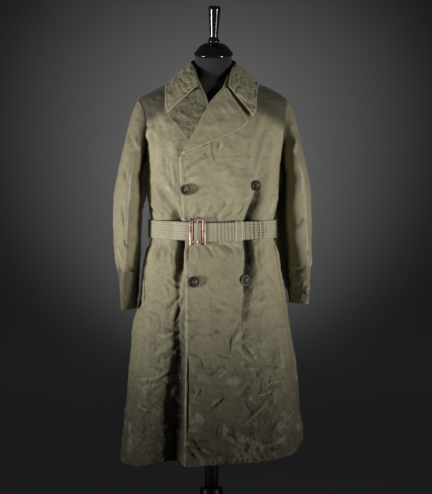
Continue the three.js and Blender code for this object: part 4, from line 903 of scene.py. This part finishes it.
def sleeve_grid(side, turn, along):
    """The sleeve's surface with its creases, pressed edge and stitched cuff, and the shade of its cloth."""
    turn, along = np.broadcast_arrays(turn, along)
    smooth = sleeve_surface(side, turn, along)
    z = smooth[..., 2]
    step = sleeve_surface(side, turn + 1.5, along) - sleeve_surface(side, turn - 1.5, along)
    down = sleeve_surface(side, turn, np.minimum(along + 0.01, 2))
    down = down - sleeve_surface(side, turn, np.maximum(along - 0.01, 0))
    normal = side * unit(np.cross(step, down))
    wrapped = (turn + 90) % 360 - 90
    round_arm = np.radians(wrapped) * GIRTH
    creases = [(math.radians(t0) * GIRTH, z0, math.radians(t1) * GIRTH, z1, *rest)
               for t0, z0, t1, z1, *rest in SLEEVE_CREASES[side]]
    height = 1.8 * crease_height(creases, round_arm, z)
    behind = [(math.radians(t) * GIRTH, high, math.radians(t + 40) * GIRTH, high - 26, 9, (-1) ** i * 2.8, 4)
              for i, (t, high) in enumerate(BEHIND_CREASES)]
    height = height + crease_height(behind, round_arm + np.where(wrapped < 0, 2 * math.pi * GIRTH, 0), z)
    height = height + 3.6 * crumple(smooth * (1, 1, 0.6), 60, 4.4) + 2.0 * crumple(smooth, 27, 9.1)
    pressed = bell(wrapped - 94, 3.4) * ramp(along, 0.35, 1.0)
    height = height * ramp(along, 0.0, 0.18) + 0.9 * pressed
    to_cuff = (2 - along) * (BICEPS - SLEEVES[side][0][0])
    stitched = 1.1 * bell(to_cuff - 24, 3.0) * (1 + 0.4 * np.sin(round_arm / 2.2))
    # Darker towards the cuff, much more so on the right sleeve.
    darkened_low = (7.0 if side < 0 else 1.5) * ramp(along, 1.66, 1.73)
    return smooth + normal * (height - stitched)[..., None], height + 4.5 * pressed - darkened_low


sleeve_cloth = coat_cloth("sleeve_cloth", tuple(0.8 * c for c in OLIVE[:3]) + (1,), OLIVE_PALE, OLIVE_DARK,
                          soil_and_shade_from=1.0, soil_and_shade_to=0.76)
sleeve_turns = np.linspace(0, 360, 121)[:-1][None, :]
sleeve_rows = np.r_[np.linspace(0, 0.12, 9)[:-1], np.linspace(0.12, 1, 34)[:-1], np.linspace(1, 1.9, 66),
                    np.linspace(1.91, 2, 14)][:, None]
patch_share, patch_rise = np.linspace(0, 1, 26)[None, :], np.linspace(0, 1, 36)[:, None]
PATCH_TURN, PATCH_BREADTH, PATCH_LONG = 91, 71, 104
sleeve_grids, patch_grids = [], []
for side, word, front in ((1, "left", left_front), (-1, "right", right_front)):
    outer, height = sleeve_grid(side, sleeve_turns, sleeve_rows)
    normals = grid_normals(outer, True)
    if (normals * (outer - outer.mean(1, keepdims=True))).sum() < 0:
        normals = -normals
    sleeve = fit(sewn_wall(word + "_sleeve", outer, CLOTH, height, "top", looped=True,
                           inner=outer - normals * CLOTH), sleeve_cloth, "sleeve_" + word)
    sleeve_grids.append((outer, normals))

    span = PATCH_LONG / (BICEPS - SLEEVES[side][0][0])
    under, _ = sleeve_grid(side, PATCH_TURN + PATCH_BREADTH * patch_share, 2 - span * patch_rise)
    face = grid_normals(under)
    if (face * (under - (side * 240, 0, 0)) * (1, 1, 0)).sum() < 0:
        face = -face
    crushed = (9.0 if side > 0 else 3.0) * crumple(under, 17, 1.1)
    outer = under + face * (2.2 + np.clip(0.35 * crushed, -0.9, 1.6))[..., None]
    patch = fit(sewn_wall(word + "_cuff_patch", outer, 1.4, crushed - (0 if side > 0 else 6), "top",
                          inner=under + face * 0.8, rub=0.5), sleeve_cloth, "cuff_patch_" + word)
    patch_grids.append((outer, face))

# ================================================================ pocket welts
# A slanting welt of doubled cloth at each side below the belt, stitched down round its edge. The pocket bag
# inside isn't shown.
WELT_BREADTH, WELT_GAP, WELT_OUT = 24, 0.3, 2.2
rise, breadth = np.linspace(0, 1, 52)[:, None], np.linspace(-0.5, 0.5, 14)[None, :]
welt_grids = []
for word, front, top, top_turn, foot, foot_turn in (
        ("left", left_front, 1002, 79, 852, 77), ("right", right_front, 1000, -80, 850, -71)):
    turn = foot_turn + (top_turn - foot_turn) * rise
    z = foot + (top - foot) * rise
    angle = turn + np.degrees(breadth * WELT_BREADTH / reach(turn, z))
    z = z + 0 * angle
    under = word == "right"
    height = relief(angle, z, under)
    outer = on_coat(angle, z, height + WELT_OUT, under)
    inner = on_coat(angle, z, height + WELT_GAP, under)
    welt = fit(sewn_wall(word + "_pocket_welt", outer, 1.8, 0.6 * height, "start", inner=inner, rub=0.7),
               olive_cloth, "pocket_welt_" + word)
    welt_grids.append(outer)

# ================================================================ belt
# One long strap of the same cloth, doubled, stiffened and sewn through lengthwise in rows. It runs from the
# buckle's bar round the waist, over the bar again, and its rounded tip lies on the first turn.
BAR_TURN, TIP_TURN, BELT_WIDE, BELT_THICK, BELT_CLEAR, TIP_ROUND = 344.4, 420.2, 51, 2.5, 3.0, 22
BUCKLE_OUT, BUCKLE_THICK = 11.8, 3.2


def belt_middle(angle):
    return WAIST + 3 - 7 * bell(angle - 360 * np.round(angle / 360), 48)


def on_belt(angle, off, out):
    """Points of the belt at a turn, a height off its middle line and a distance out from the waist."""
    angle, off, out = np.broadcast_arrays(*(np.asarray(values, float) for values in (angle, off, out)))

    def smooth(turn):
        r = reach(turn, WAIST)
        return np.stack([r * sin(turn), -r * cos(turn), belt_middle(angle) + off], -1)

    step = unit(smooth(angle + 1) - smooth(angle - 1))
    return smooth(angle) + np.stack([step[..., 1], -step[..., 0], 0 * off], -1) * out[..., None]


belt_turns = np.unique(np.r_[np.arange(-13, 318, 1.15), np.arange(318, 336, 0.9), np.arange(336, 353, 0.45),
                             np.arange(353, 410, 0.9), np.arange(410, TIP_TURN, 0.4), TIP_TURN])[:, None]
belt_out = BELT_CLEAR + 2.4 + 3.2 * ramp(belt_turns, BAR_TURN - 26, BAR_TURN + 8)
hump = np.where(np.abs(belt_turns - BAR_TURN) < 5.8, np.cos(math.pi * (belt_turns - BAR_TURN) / 11.6) ** 2, 0)
belt_out = belt_out + (BUCKLE_OUT + BUCKLE_THICK + 0.8 - belt_out) * hump
from_tip = np.radians(TIP_TURN - belt_turns) * reach(60.0, WAIST)
tip_half = np.sqrt(1 - (1 - np.clip(from_tip, 0.6, TIP_ROUND) / TIP_ROUND) ** 2)
belt_off = np.linspace(-1, 1, 49)[None, :] * BELT_WIDE / 2 * np.where(from_tip < TIP_ROUND, tip_half, 1)
belt_run = np.radians(belt_turns) * 150
front_share = ramp(belt_turns, 358, 366)
behind_bar = ramp(belt_turns, 316, 320) * ramp(belt_turns, 341, 338)
rows_of_stitching = -0.7 * bell((belt_off + 28) % 8 - 4, 1.1)
rows_of_stitching = rows_of_stitching * (1 - 0.7 * ramp(belt_turns, 350, 354) * ramp(belt_turns, 390, 384))
ruched = 0.55 * np.sin(belt_run / 1.7 + 2.2 * np.sin(belt_run / 23) + belt_off / 60)
ruched = ruched + 0.3 * np.sin(belt_run / 0.83 + 1.3)
puckered = 0.6 * np.sin(belt_run / 0.95 + 1.5 * np.sin(belt_run / 9) + 0.5 * np.sin(belt_off / 5))
lumpy = np.sin(belt_run / 1.1 + 2 * np.sin(belt_off / 8)) * np.cos(belt_off / 8 * math.pi)
lumpy = (0.22 + 0.1 * front_share) * lumpy
across_tip = 0.9 * bell(from_tip % 7.5 - 3.5, 1.1) * (from_tip < 52)
belt_height = rows_of_stitching + front_share * ruched + behind_bar * puckered - across_tip + lumpy
belt_height = belt_height - 0.5 * bell(BELT_WIDE / 2 - np.abs(belt_off), 1.2)
belt_outer = on_belt(belt_turns, belt_off, belt_out + BELT_THICK + np.clip(belt_height, -1.2, 0.5))
belt_shade = 7 * belt_height + 1.5 + 4 * behind_bar - 2.0 * front_share
belt_cloth = coat_cloth("belt_cloth", (0.37, 0.335, 0.225, 1), (0.66, 0.61, 0.47, 1), (0.12, 0.107, 0.068, 1),
                        crushed=0.25)
belt_inner = on_belt(belt_turns, belt_off, belt_out)
belt_strap = fit(sewn_wall("belt_strap", belt_outer, BELT_THICK, belt_shade, "foot top", inner=belt_inner,
                           rub=0.5), belt_cloth, "belt")

# ================================================================ keeper and belt loops
# The keeper is a closed band of the belt's cloth that holds the tip down; the loops are strips sewn to the
# side seams above and below the belt, with a little slack over it.
KEEPER_THICK, LOOP_THICK = 1.2, 1.5
keeper_turns = np.linspace(26.9, 34.3, 17)[:, None]
low, high, half = BELT_CLEAR + 1.9, BELT_CLEAR + 5.6 + BELT_THICK + 0.9, BELT_WIDE / 2 + 0.8
t = np.linspace(0, 1, 61)[:-1][None, :]
round_x, round_y = (np.sign(v) * np.abs(v) ** power
                    for v, power in ((np.cos(2 * math.pi * t), 0.35), (np.sin(2 * math.pi * t), 0.6)))


def keeper_ring(grow):
    out = (low + high) / 2 + round_y * ((high - low) / 2 + grow)
    return on_belt(keeper_turns, round_x * (half + grow), out)


keeper_shade = 0 * keeper_turns + 0.4 * np.sin(9 * t)
keeper_band = fit(sewn_wall("keeper_band", keeper_ring(KEEPER_THICK), KEEPER_THICK, keeper_shade, "foot top",
                            looped=True, inner=keeper_ring(0)), belt_cloth, "belt_keeper")
LOOP_OVER = BELT_CLEAR + 2.4 + BELT_THICK + 0.9
off = np.r_[np.linspace(-44, -34, 10), np.linspace(-33, -27, 8), np.linspace(-24, 24, 16),
            np.linspace(27, 33, 8), np.linspace(34, 44, 10)]
for word, middle in (("left", 86.0), ("right", -86.0)):
    on_cloth = np.maximum(reach(middle, belt_middle(middle) + off) - reach(middle, WAIST), 0) + 2.0
    rise = np.where(np.abs(off) > 30, on_cloth, LOOP_OVER)
    rise = np.convolve(np.pad(rise, 3, mode="edge"), np.ones(7) / 7, "valid")[:, None]
    turn = middle + np.degrees(np.linspace(-6, 6, 7) / reach(middle, WAIST))[None, :]
    outer, inner = (on_belt(turn, off[:, None], rise + thick) for thick in (LOOP_THICK, 0))
    wear_and_shade = np.full(outer.shape[:2], 0.5)
    loop = fit(sewn_wall(word + "_belt_loop", outer, LOOP_THICK, wear_and_shade, "start end", inner=inner),
               olive_cloth, "belt_loop_" + word)

# ================================================================ stitching
# Rows of lockstitch in olive thread: 12 mm inside the fronts' edges, 11 mm inside the lapels', 18 mm above the
# hem, along the side seams and the belt's tip, and round the collar, cuffs, patches and welts. Each stitch
# is pulled a little into the cloth at both ends.
f = Finish("sewing_thread")
strand = f.noise(f.place, 1500.0, 2.0)
sewing_thread = f.finished(strand * 0.0002, Roughness=0.75,
                           Base_Color=f.mixed(strand, (0.15, 0.135, 0.085, 1), (0.36, 0.33, 0.235, 1)))


def row_inside(grid, side, margin, normals=None):
    """The line on a grid at a distance from one of its edges, with the cloth's normals along it."""
    normals = grid_normals(grid) if normals is None else normals
    distance = from_edges(*run_lengths(grid))[side]
    if side in ("start", "end"):
        grid, normals, distance = grid.transpose(1, 0, 2), normals.transpose(1, 0, 2), distance.T
    if side in ("end", "top"):
        grid, normals, distance = grid[::-1], normals[::-1], distance[::-1]
    each = np.arange(grid.shape[1])
    k = np.clip((distance < margin).sum(0), 1, len(distance) - 1)
    t = ((margin - distance[k - 1, each]) / (distance[k, each] - distance[k - 1, each]))[:, None]
    return grid[k - 1, each] * (1 - t) + grid[k, each] * t, normals[k, each]


def sew(name, *rows, pitch=3.2, length=2.5, thick=0.34):
    """Stitches along lines on the cloth, each a short four-sided bar that dips at both ends."""
    points, faces, first = [], [], 0
    share, dip, swell = np.array([[0.0, 0.22, 0.78, 1.0], [-0.25, 0.22, 0.22, -0.25], [0.5, 1.0, 1.0, 0.5]])
    for line, normals in rows:
        run = np.r_[0, np.cumsum(np.linalg.norm(np.diff(line, axis=0), axis=1))]
        starts = np.arange(1.0, run[-1] - length - 1, pitch)
        at = starts[:, None] + length * share
        centre, out = (np.stack([np.interp(at, run, values) for values in rows_of.T], -1)
                       for rows_of in (line, normals))
        out = unit(out)
        aside = np.cross(out, unit(centre[:, -1:] - centre[:, :1]))
        centre = centre + out * dip[:, None]
        ring = [centre + (aside * math.cos(a) + out * math.sin(a)) * thick * swell[:, None]
                for a in np.radians([45, 135, 225, 315])]
        points.append(np.stack(ring, 2).reshape(-1, 3))
        base = first + 16 * np.arange(len(starts))[:, None]
        for corner in range(0, 12, 4):
            for c in range(4):
                d = (c + 1) % 4
                faces.append(base + [corner + c, corner + d, corner + 4 + d, corner + 4 + c])
        faces += [base + [3, 2, 1, 0], base + [12, 13, 14, 15]]
        first += 16 * len(starts)
    piece = new_piece(name, np.concatenate(points), np.concatenate(faces).tolist())
    piece.data.materials.append(sewing_thread)
    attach(piece, "root")


SIDES = ("start", "end", "foot", "top")
sew("front_edge_stitches", row_inside(left_front_grid, "start", FRONT_MARGIN),
    row_inside(right_front_grid, "end", FRONT_MARGIN))
sew("hem_stitches", *(row_inside(grid, "foot", HEM_MARGIN)
                      for grid in (left_front_grid, right_front_grid, back_grid)))
sew("lapel_stitches", *(row_inside(grid, "end", LAPEL_MARGIN)
                        for grid in (left_lapel_grid, right_lapel_grid)))
sew("collar_stitches", *(row_inside(fall_outer, side, COLLAR_MARGIN, fall_normals)
                         for side in ("top", "start", "end")))
sew("side_seam_stitches", *(row_inside(grid, side, 3) for grid, side in (
    (left_front_grid, "end"), (right_front_grid, "start"), (back_grid, "start"), (back_grid, "end"))))
sew("sleeve_stitches", *(row_inside(grid, side, margin, normals) for grid, normals in sleeve_grids
                         for side, margin in (("foot", 3.0), ("top", 26.0))))
sew("cuff_patch_stitches", *(row_inside(grid, side, 3.5, face)
                             for grid, face in patch_grids for side in SIDES[:3]))
sew("welt_stitches", *(row_inside(grid, side, 2.5) for grid in welt_grids for side in SIDES))
sew("belt_stitches", *(row_inside(belt_outer, side, margin)
                       for side in SIDES[:2] for margin in (4, 12, 20, 28)), pitch=3.6, length=2.6, thick=0.3)

# ================================================================ buckle
# A cast frame of coppered metal, worn to bright metal in patches, with a flat bar down its middle
# that the belt passes over. The belt's end is sewn round the bar.
BUCKLE_TURN, BUCKLE_WIDE, BUCKLE_HIGH, BUCKLE_FRAME = -15.6, 43, 75, 7.5


def small_block(wide, high, thick):
    bpy.ops.mesh.primitive_cube_add(size=1)
    block = bpy.context.object
    block.scale = (wide / 1000, high / 1000, thick / 1000)
    bpy.ops.object.transform_apply(scale=True)
    return block


def rounded(piece, width, segments, over, smooth):
    """Rounds the edges that turn by more than one angle, and shades the piece smooth up to another."""
    bpy.ops.object.select_all(action="DESELECT")
    piece.select_set(True)
    bpy.context.view_layer.objects.active = piece
    bevel = piece.modifiers.new("bevel", "BEVEL")
    bevel.width, bevel.segments = width, segments
    bevel.limit_method, bevel.angle_limit = "ANGLE", math.radians(over)
    bpy.ops.object.modifier_apply(modifier="bevel")
    bpy.ops.object.shade_smooth_by_angle(angle=math.radians(smooth))


def facing_place(point, outward):
    """Where a small piece goes that is modelled lying face up: at a point in millimetres, facing outwards."""
    aside = Vector((0, 0, 1)).cross(outward).normalized()
    facing_out = Matrix((aside, outward.cross(aside), outward)).transposed().to_4x4()
    return Matrix.Translation(Vector(point) * 0.001) @ facing_out


buckle = small_block(BUCKLE_WIDE, BUCKLE_HIGH, BUCKLE_THICK)
buckle.name = "buckle_frame"
pick(buckle, "FACE", lambda face: abs(face.normal.z) > 0.9)
bpy.ops.mesh.inset(thickness=BUCKLE_FRAME / 1000, depth=0)
bpy.ops.mesh.bridge_edge_loops()
bpy.ops.object.mode_set(mode="OBJECT")
small_block(3.4, BUCKLE_HIGH - 2 * BUCKLE_FRAME + 2, 2.6)
buckle.select_set(True)
bpy.context.view_layer.objects.active = buckle
bpy.ops.object.join()
rounded(buckle, 0.0014, 4, 50, 50)
buckle_middle = on_belt(BUCKLE_TURN, 0.0, BUCKLE_OUT + BUCKLE_THICK / 2)
facing = Vector(on_belt(BUCKLE_TURN, 0.0, BUCKLE_OUT + 3) - buckle_middle).normalized()
buckle.data.transform(facing_place(buckle_middle, facing))
f = Finish("coppered_metal")
grain, wear = f.noise(f.place, 260.0, 4.0), f.noise(f.place, 60.0, 5.0, 0.6)
coppered_metal = f.finished(
    grain * 0.00012 + wear * 0.0003, Metallic=0.85, Roughness=f.between(wear, 0.3, 0.7) * 0.2 + 0.26,
    Base_Color=f.mixed(f.between(wear, 0.36, 0.52), (0.46, 0.27, 0.18, 1), (0.90, 0.66, 0.52, 1)))
fit(buckle, coppered_metal, "buckle")

# ================================================================ buttons
# Four dished buttons of dark horn, 31 mm across, with a raised rim and four holes, sewn on with olive thread
# wound under them. The right pair closes the coat; the left pair balances it.
BUTTON_RADIUS, HOLE_OFF, THREAD_RADIUS = 15.5, 0.0023, 0.00048
f = Finish("dark_horn")
streak = f.noise(f.node("ShaderNodeMapping", None, {"Vector": f.place, "Scale": (1.0, 1.0, 4.0)}), 60.0, 4.0)
dark_horn = f.finished(
    f.noise(f.place, 900.0, 2.0) * 0.00005, Roughness=f.between(streak, 0.2, 0.9) * 0.14 + 0.34,
    Base_Color=f.mixed(f.between(streak, 0.35, 0.7), (0.012, 0.008, 0.005, 1), (0.060, 0.037, 0.022, 1)),
    Specular_IOR_Level=0.22)

bpy.ops.mesh.primitive_cylinder_add(vertices=56, radius=BUTTON_RADIUS / 1000, depth=0.0044,
                                    location=(0, 0, 0.0023))
button = bpy.context.object
bpy.ops.object.transform_apply(location=True)
pick(button, "FACE", lambda face: face.normal.z > 0.9)
for inset, sink in ((0.0012, 0.0), (0.0022, 0.0004), (0.0020, -0.0003), (0.0024, -0.0013), (0.0012, -0.0004)):
    bpy.ops.mesh.inset(thickness=inset, depth=sink)
pick(button, "FACE", lambda face: face.normal.z < -0.9)
bpy.ops.mesh.inset(thickness=0.003, depth=0.0008)
bpy.ops.object.mode_set(mode="OBJECT")
for x, y in ((-1, -1), (-1, 1), (1, -1), (1, 1)):
    bpy.ops.mesh.primitive_cylinder_add(vertices=14, radius=0.0011, depth=0.02,
                                        location=(x * HOLE_OFF, y * HOLE_OFF, 0.002))
    drill = bpy.context.object
    cut = button.modifiers.new("hole", "BOOLEAN")
    cut.object, cut.operation, cut.solver = drill, "DIFFERENCE", "EXACT"
    bpy.context.view_layer.objects.active = button
    bpy.ops.object.modifier_apply(modifier="hole")
    bpy.data.objects.remove(drill)
rounded(button, 0.0005, 3, 35, 40)
button.data.materials.append(dark_horn)
bpy.ops.mesh.primitive_cylinder_add(vertices=16, radius=0.0034, depth=0.0030, location=(0, 0, -0.0002))
shank = bpy.context.object
for y in (-HOLE_OFF, HOLE_OFF):
    for lift in (-0.00045, 0.00045):
        bpy.ops.mesh.primitive_torus_add(
            major_radius=HOLE_OFF, minor_radius=THREAD_RADIUS, major_segments=20, minor_segments=6,
            location=(0, y + lift, 0.00225), rotation=(math.pi / 2, 0, 0))
        shank.select_set(True)
        bpy.context.view_layer.objects.active = shank
        bpy.ops.object.join()
bpy.ops.object.transform_apply(location=True, rotation=True, scale=True)
bpy.ops.object.shade_smooth_by_angle(angle=math.radians(60))
shank.data.materials.append(sewing_thread)
for name, node, turn, z in (
        ("right_upper_button", "button_upper_right", -26.4, 1160.0),
        ("left_upper_button", "button_upper_left", 46.5, 1172.0),
        ("right_lower_button", "button_lower_right", -16.8, 909.0),
        ("left_lower_button", "button_lower_left", 33.6, 912.0)):
    outward = Vector((sin(turn), -cos(turn), 0))
    ring = np.linspace(0, 360, 25)
    rim_turn = turn + np.degrees(BUTTON_RADIUS * cos(ring) / reach(turn, z))
    rim, centre = on_coat(rim_turn, z + BUTTON_RADIUS * sin(ring)), on_coat(turn, z)
    stand_off = max(0.0, ((rim - centre) @ np.array(outward)).max()) + 1.0
    spin = Matrix.Rotation(math.radians(8 * turn), 4, "Z")
    place = facing_place(Vector(centre) + outward * stand_off, outward) @ spin
    for source, kind in ((button, ""), (shank, "_thread")):
        copy = bpy.data.objects.new(name + kind, source.data.copy())
        copy.data.transform(place)
        scene.collection.objects.link(copy)
        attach(copy, "root")
        if source is button:
            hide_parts(node)
for source in (button, shank):
    bpy.data.objects.remove(source)

# ================================================================ dress form
# A limbless torso covered in tight black jersey over a smooth shell, closed at the neck and foot. It leans a
# little on its pole, and its neck is cut off at a slant.
TORSO = [  # height, half the breadth, reach to the front and to the back
    (790, 156, 106, 116), (850, 163, 112, 122), (930, 157, 108, 114), (1000, 143, 100, 102),
    (1049, 137, 97, 96), (1120, 145, 103, 104), (1200, 159, 112, 114), (1270, 168, 112, 120),
    (1331, 176, 104, 116), (1374, 180, 94, 105), (1400, 180, 83, 92), (1414, 172, 77, 84),
    (1427, 162, 73, 77), (1440, 144, 68, 71), (1455, 110, 60, 62), (1468, 76, 54, 55), (1484, 53, 51, 52),
]
FORM_FOOT, FORM_SIDES, NECK_ROUND, NECK_TILT = 790, 96, 50.5, math.radians(14)
NECK_X, NECK_Y, NECK_TOP = 6, 2, 1541
torso_half, torso_front, torso_back = (curve(TORSO, column) for column in (1, 2, 3))
form_turns = np.linspace(0, 360, FORM_SIDES + 1)[:-1]
aside, ahead = sin(form_turns), cos(form_turns)
form_rows = []
for z in np.r_[np.arange(FORM_FOOT, 1380.0, 14), np.arange(1380.0, 1485, 5)]:
    lean = NECK_X * (z - FORM_FOOT) / (NECK_TOP - FORM_FOOT)
    deep = np.where(ahead > 0, torso_front(z), torso_back(z))
    form_rows.append(np.stack([lean + torso_half(z) * aside, -deep * ahead + 1, 0 * deep + z], -1))
throat = form_rows[-1]
neck_rim = np.stack([NECK_X + NECK_ROUND * aside, NECK_Y - NECK_ROUND * ahead,
                     NECK_TOP - NECK_ROUND * ahead * math.tan(NECK_TILT)], -1)
form_rows += [throat + (neck_rim - throat) * t for t in np.linspace(0.08, 1, 13)]
form_points = np.concatenate([*form_rows, [(0, 1, FORM_FOOT)], [(NECK_X, NECK_Y, NECK_TOP)]])
ring = np.arange(FORM_SIDES)
following = np.roll(ring, -1)
form_faces = []
for first in range(0, FORM_SIDES * (len(form_rows) - 1), FORM_SIDES):
    upper = first + FORM_SIDES
    form_faces += np.stack([first + ring, first + following, upper + following, upper + ring], -1).tolist()
foot_middle = 0 * ring + len(form_points) - 2
form_faces += np.stack([foot_middle, following, ring], -1).tolist()
form_faces += np.stack([foot_middle + 1, upper + ring, upper + following], -1).tolist()
f = Finish("black_jersey")
knit = f.node("ShaderNodeTexWave", {"wave_type": "BANDS", "bands_direction": "Z"},
              {"Vector": f.place, "Scale": 420.0, "Distortion": 1.5})
fuzz = f.noise(f.place, 700.0)
lint = f.between(f.noise(f.place, 160.0, 2.0), 0.66, 0.74)
colour = f.mixed(f.noise(f.place, 12.0), (0.012, 0.012, 0.014, 1), (0.030, 0.030, 0.034, 1))
black_jersey = f.finished(knit * 0.00008 + fuzz * 0.0001, Roughness=fuzz * 0.2 + 0.75, Sheen_Weight=0.25,
                          Base_Color=f.mixed(lint * 0.4, colour, (0.12, 0.12, 0.13, 1)))
fit(new_piece("torso_jersey", form_points, form_faces), black_jersey, "form_torso")

# ================================================================ neck cap and finial
# Turned wood in black gloss lacquer: a stepped cap that closes the neck, and a flared handle screwed into it.
# They tilt forwards with the neck; the handle leans a little to the wearer's left.
CAP = [(53, 0.4), (54.5, 4), (53.5, 9), (49, 13), (46.5, 17), (38, 27), (27, 33), (2, 33)]
FINIAL = [(13, 0), (16, 7), (15, 13), (11.6, 20), (12, 28), (14.4, 62), (17, 98), (16, 104), (13, 105.5),
          (1, 105.5)]


def turned(name, node, material, profile, segments=64, round_edge=0.0012):
    """Turns a profile of radius and height, in millimetres, about the upright axis, from its foot up."""
    radius, height = profile[0]
    bpy.ops.mesh.primitive_circle_add(vertices=segments, radius=radius / 1000, fill_type="NGON",
                                      location=(0, 0, height / 1000))
    piece = bpy.context.object
    piece.name = name
    bpy.ops.object.transform_apply(location=True)
    bpy.ops.object.mode_set(mode="EDIT")
    bpy.ops.mesh.select_all(action="SELECT")
    for next_radius, next_height in profile[1:]:
        rise, grown = (next_height - height) / 1000, next_radius / radius
        bpy.ops.mesh.extrude_region_move(TRANSFORM_OT_translate={"value": (0, 0, rise)})
        bpy.ops.transform.resize(value=(grown, grown, 1))
        radius, height = next_radius, next_height
    bpy.ops.mesh.select_all(action="SELECT")
    bpy.ops.mesh.normals_make_consistent(inside=False)
    bpy.ops.object.mode_set(mode="OBJECT")
    rounded(piece, round_edge, 3, 28, 40)
    return fit(piece, material, node)


def eased(profile, steps=5):
    """A profile on a smooth line through its own points, up to the last one, which closes its top."""
    numbered = [(i, *point) for i, point in enumerate(profile[:-1])]
    t = np.linspace(0, len(numbered) - 1, (len(numbered) - 1) * steps + 1)
    return [*zip(curve(numbered, 1)(t), curve(numbered, 2)(t)), profile[-1]]


f = Finish("black_lacquer")
dust, smear = f.noise(f.place, 380.0), f.noise(f.place, 26.0)
black_lacquer = f.finished(
    dust * 0.00002 + smear * 0.0002, Roughness=f.between(smear, 0.25, 0.8) * 0.12 + 0.10,
    Base_Color=f.mixed(dust * 0.3, (0.007, 0.007, 0.008, 1), (0.030, 0.028, 0.026, 1)),
    Coat_Weight=0.5, Coat_Roughness=0.06)
neck_axis = Vector((0, -math.sin(NECK_TILT), math.cos(NECK_TILT)))
for node, profile, up, sideways in (("neck_cap", CAP, 0, 0), ("finial", FINIAL, 33.4, 0.028)):
    piece = turned(node + "_lacquer", node, black_lacquer, eased(profile), 72, 0.0004)
    piece.data.transform(Matrix.Translation((Vector((NECK_X, NECK_Y, NECK_TOP)) + neck_axis * up) * 0.001)
                         @ Matrix.Rotation(NECK_TILT, 4, "X") @ Matrix.Rotation(sideways, 4, "Y"))

# ================================================================ stand
# The form's steel pole slides in a hub on a column, screwed into a weighted round base, all in black
# stove enamel. The base's underside is flat and stands on the floor.
f = Finish("black_enamel")
peel, rubbed = f.noise(f.place, 420.0, 2.0), f.noise(f.place, 34.0, 5.0, 0.65)
bare = f.between(rubbed, 0.62, 0.72) * 0.4
black_enamel = f.finished(
    peel * 0.00008, Metallic=0.3, Roughness=f.between(rubbed, 0.3, 0.75) * 0.18 + 0.32,
    Base_Color=f.mixed(bare, (0.012, 0.012, 0.013, 1), (0.085, 0.08, 0.075, 1)))
turned("pole_tube", "pole", black_enamel, [(20, 315.4), (20, 789.6)])
turned("hub_collar", "pole_hub", black_enamel, [(26, 250), (33, 258), (33, 307), (30, 315)])
turned("column_tube", "column", black_enamel, [(24, 46.4), (24, 249.6)])
turned("weighted_base", "base", black_enamel,
       [(188, 0), (192, 5), (189, 12), (150, 18), (60, 25), (36, 34), (32, 46)], 96, 0.003)
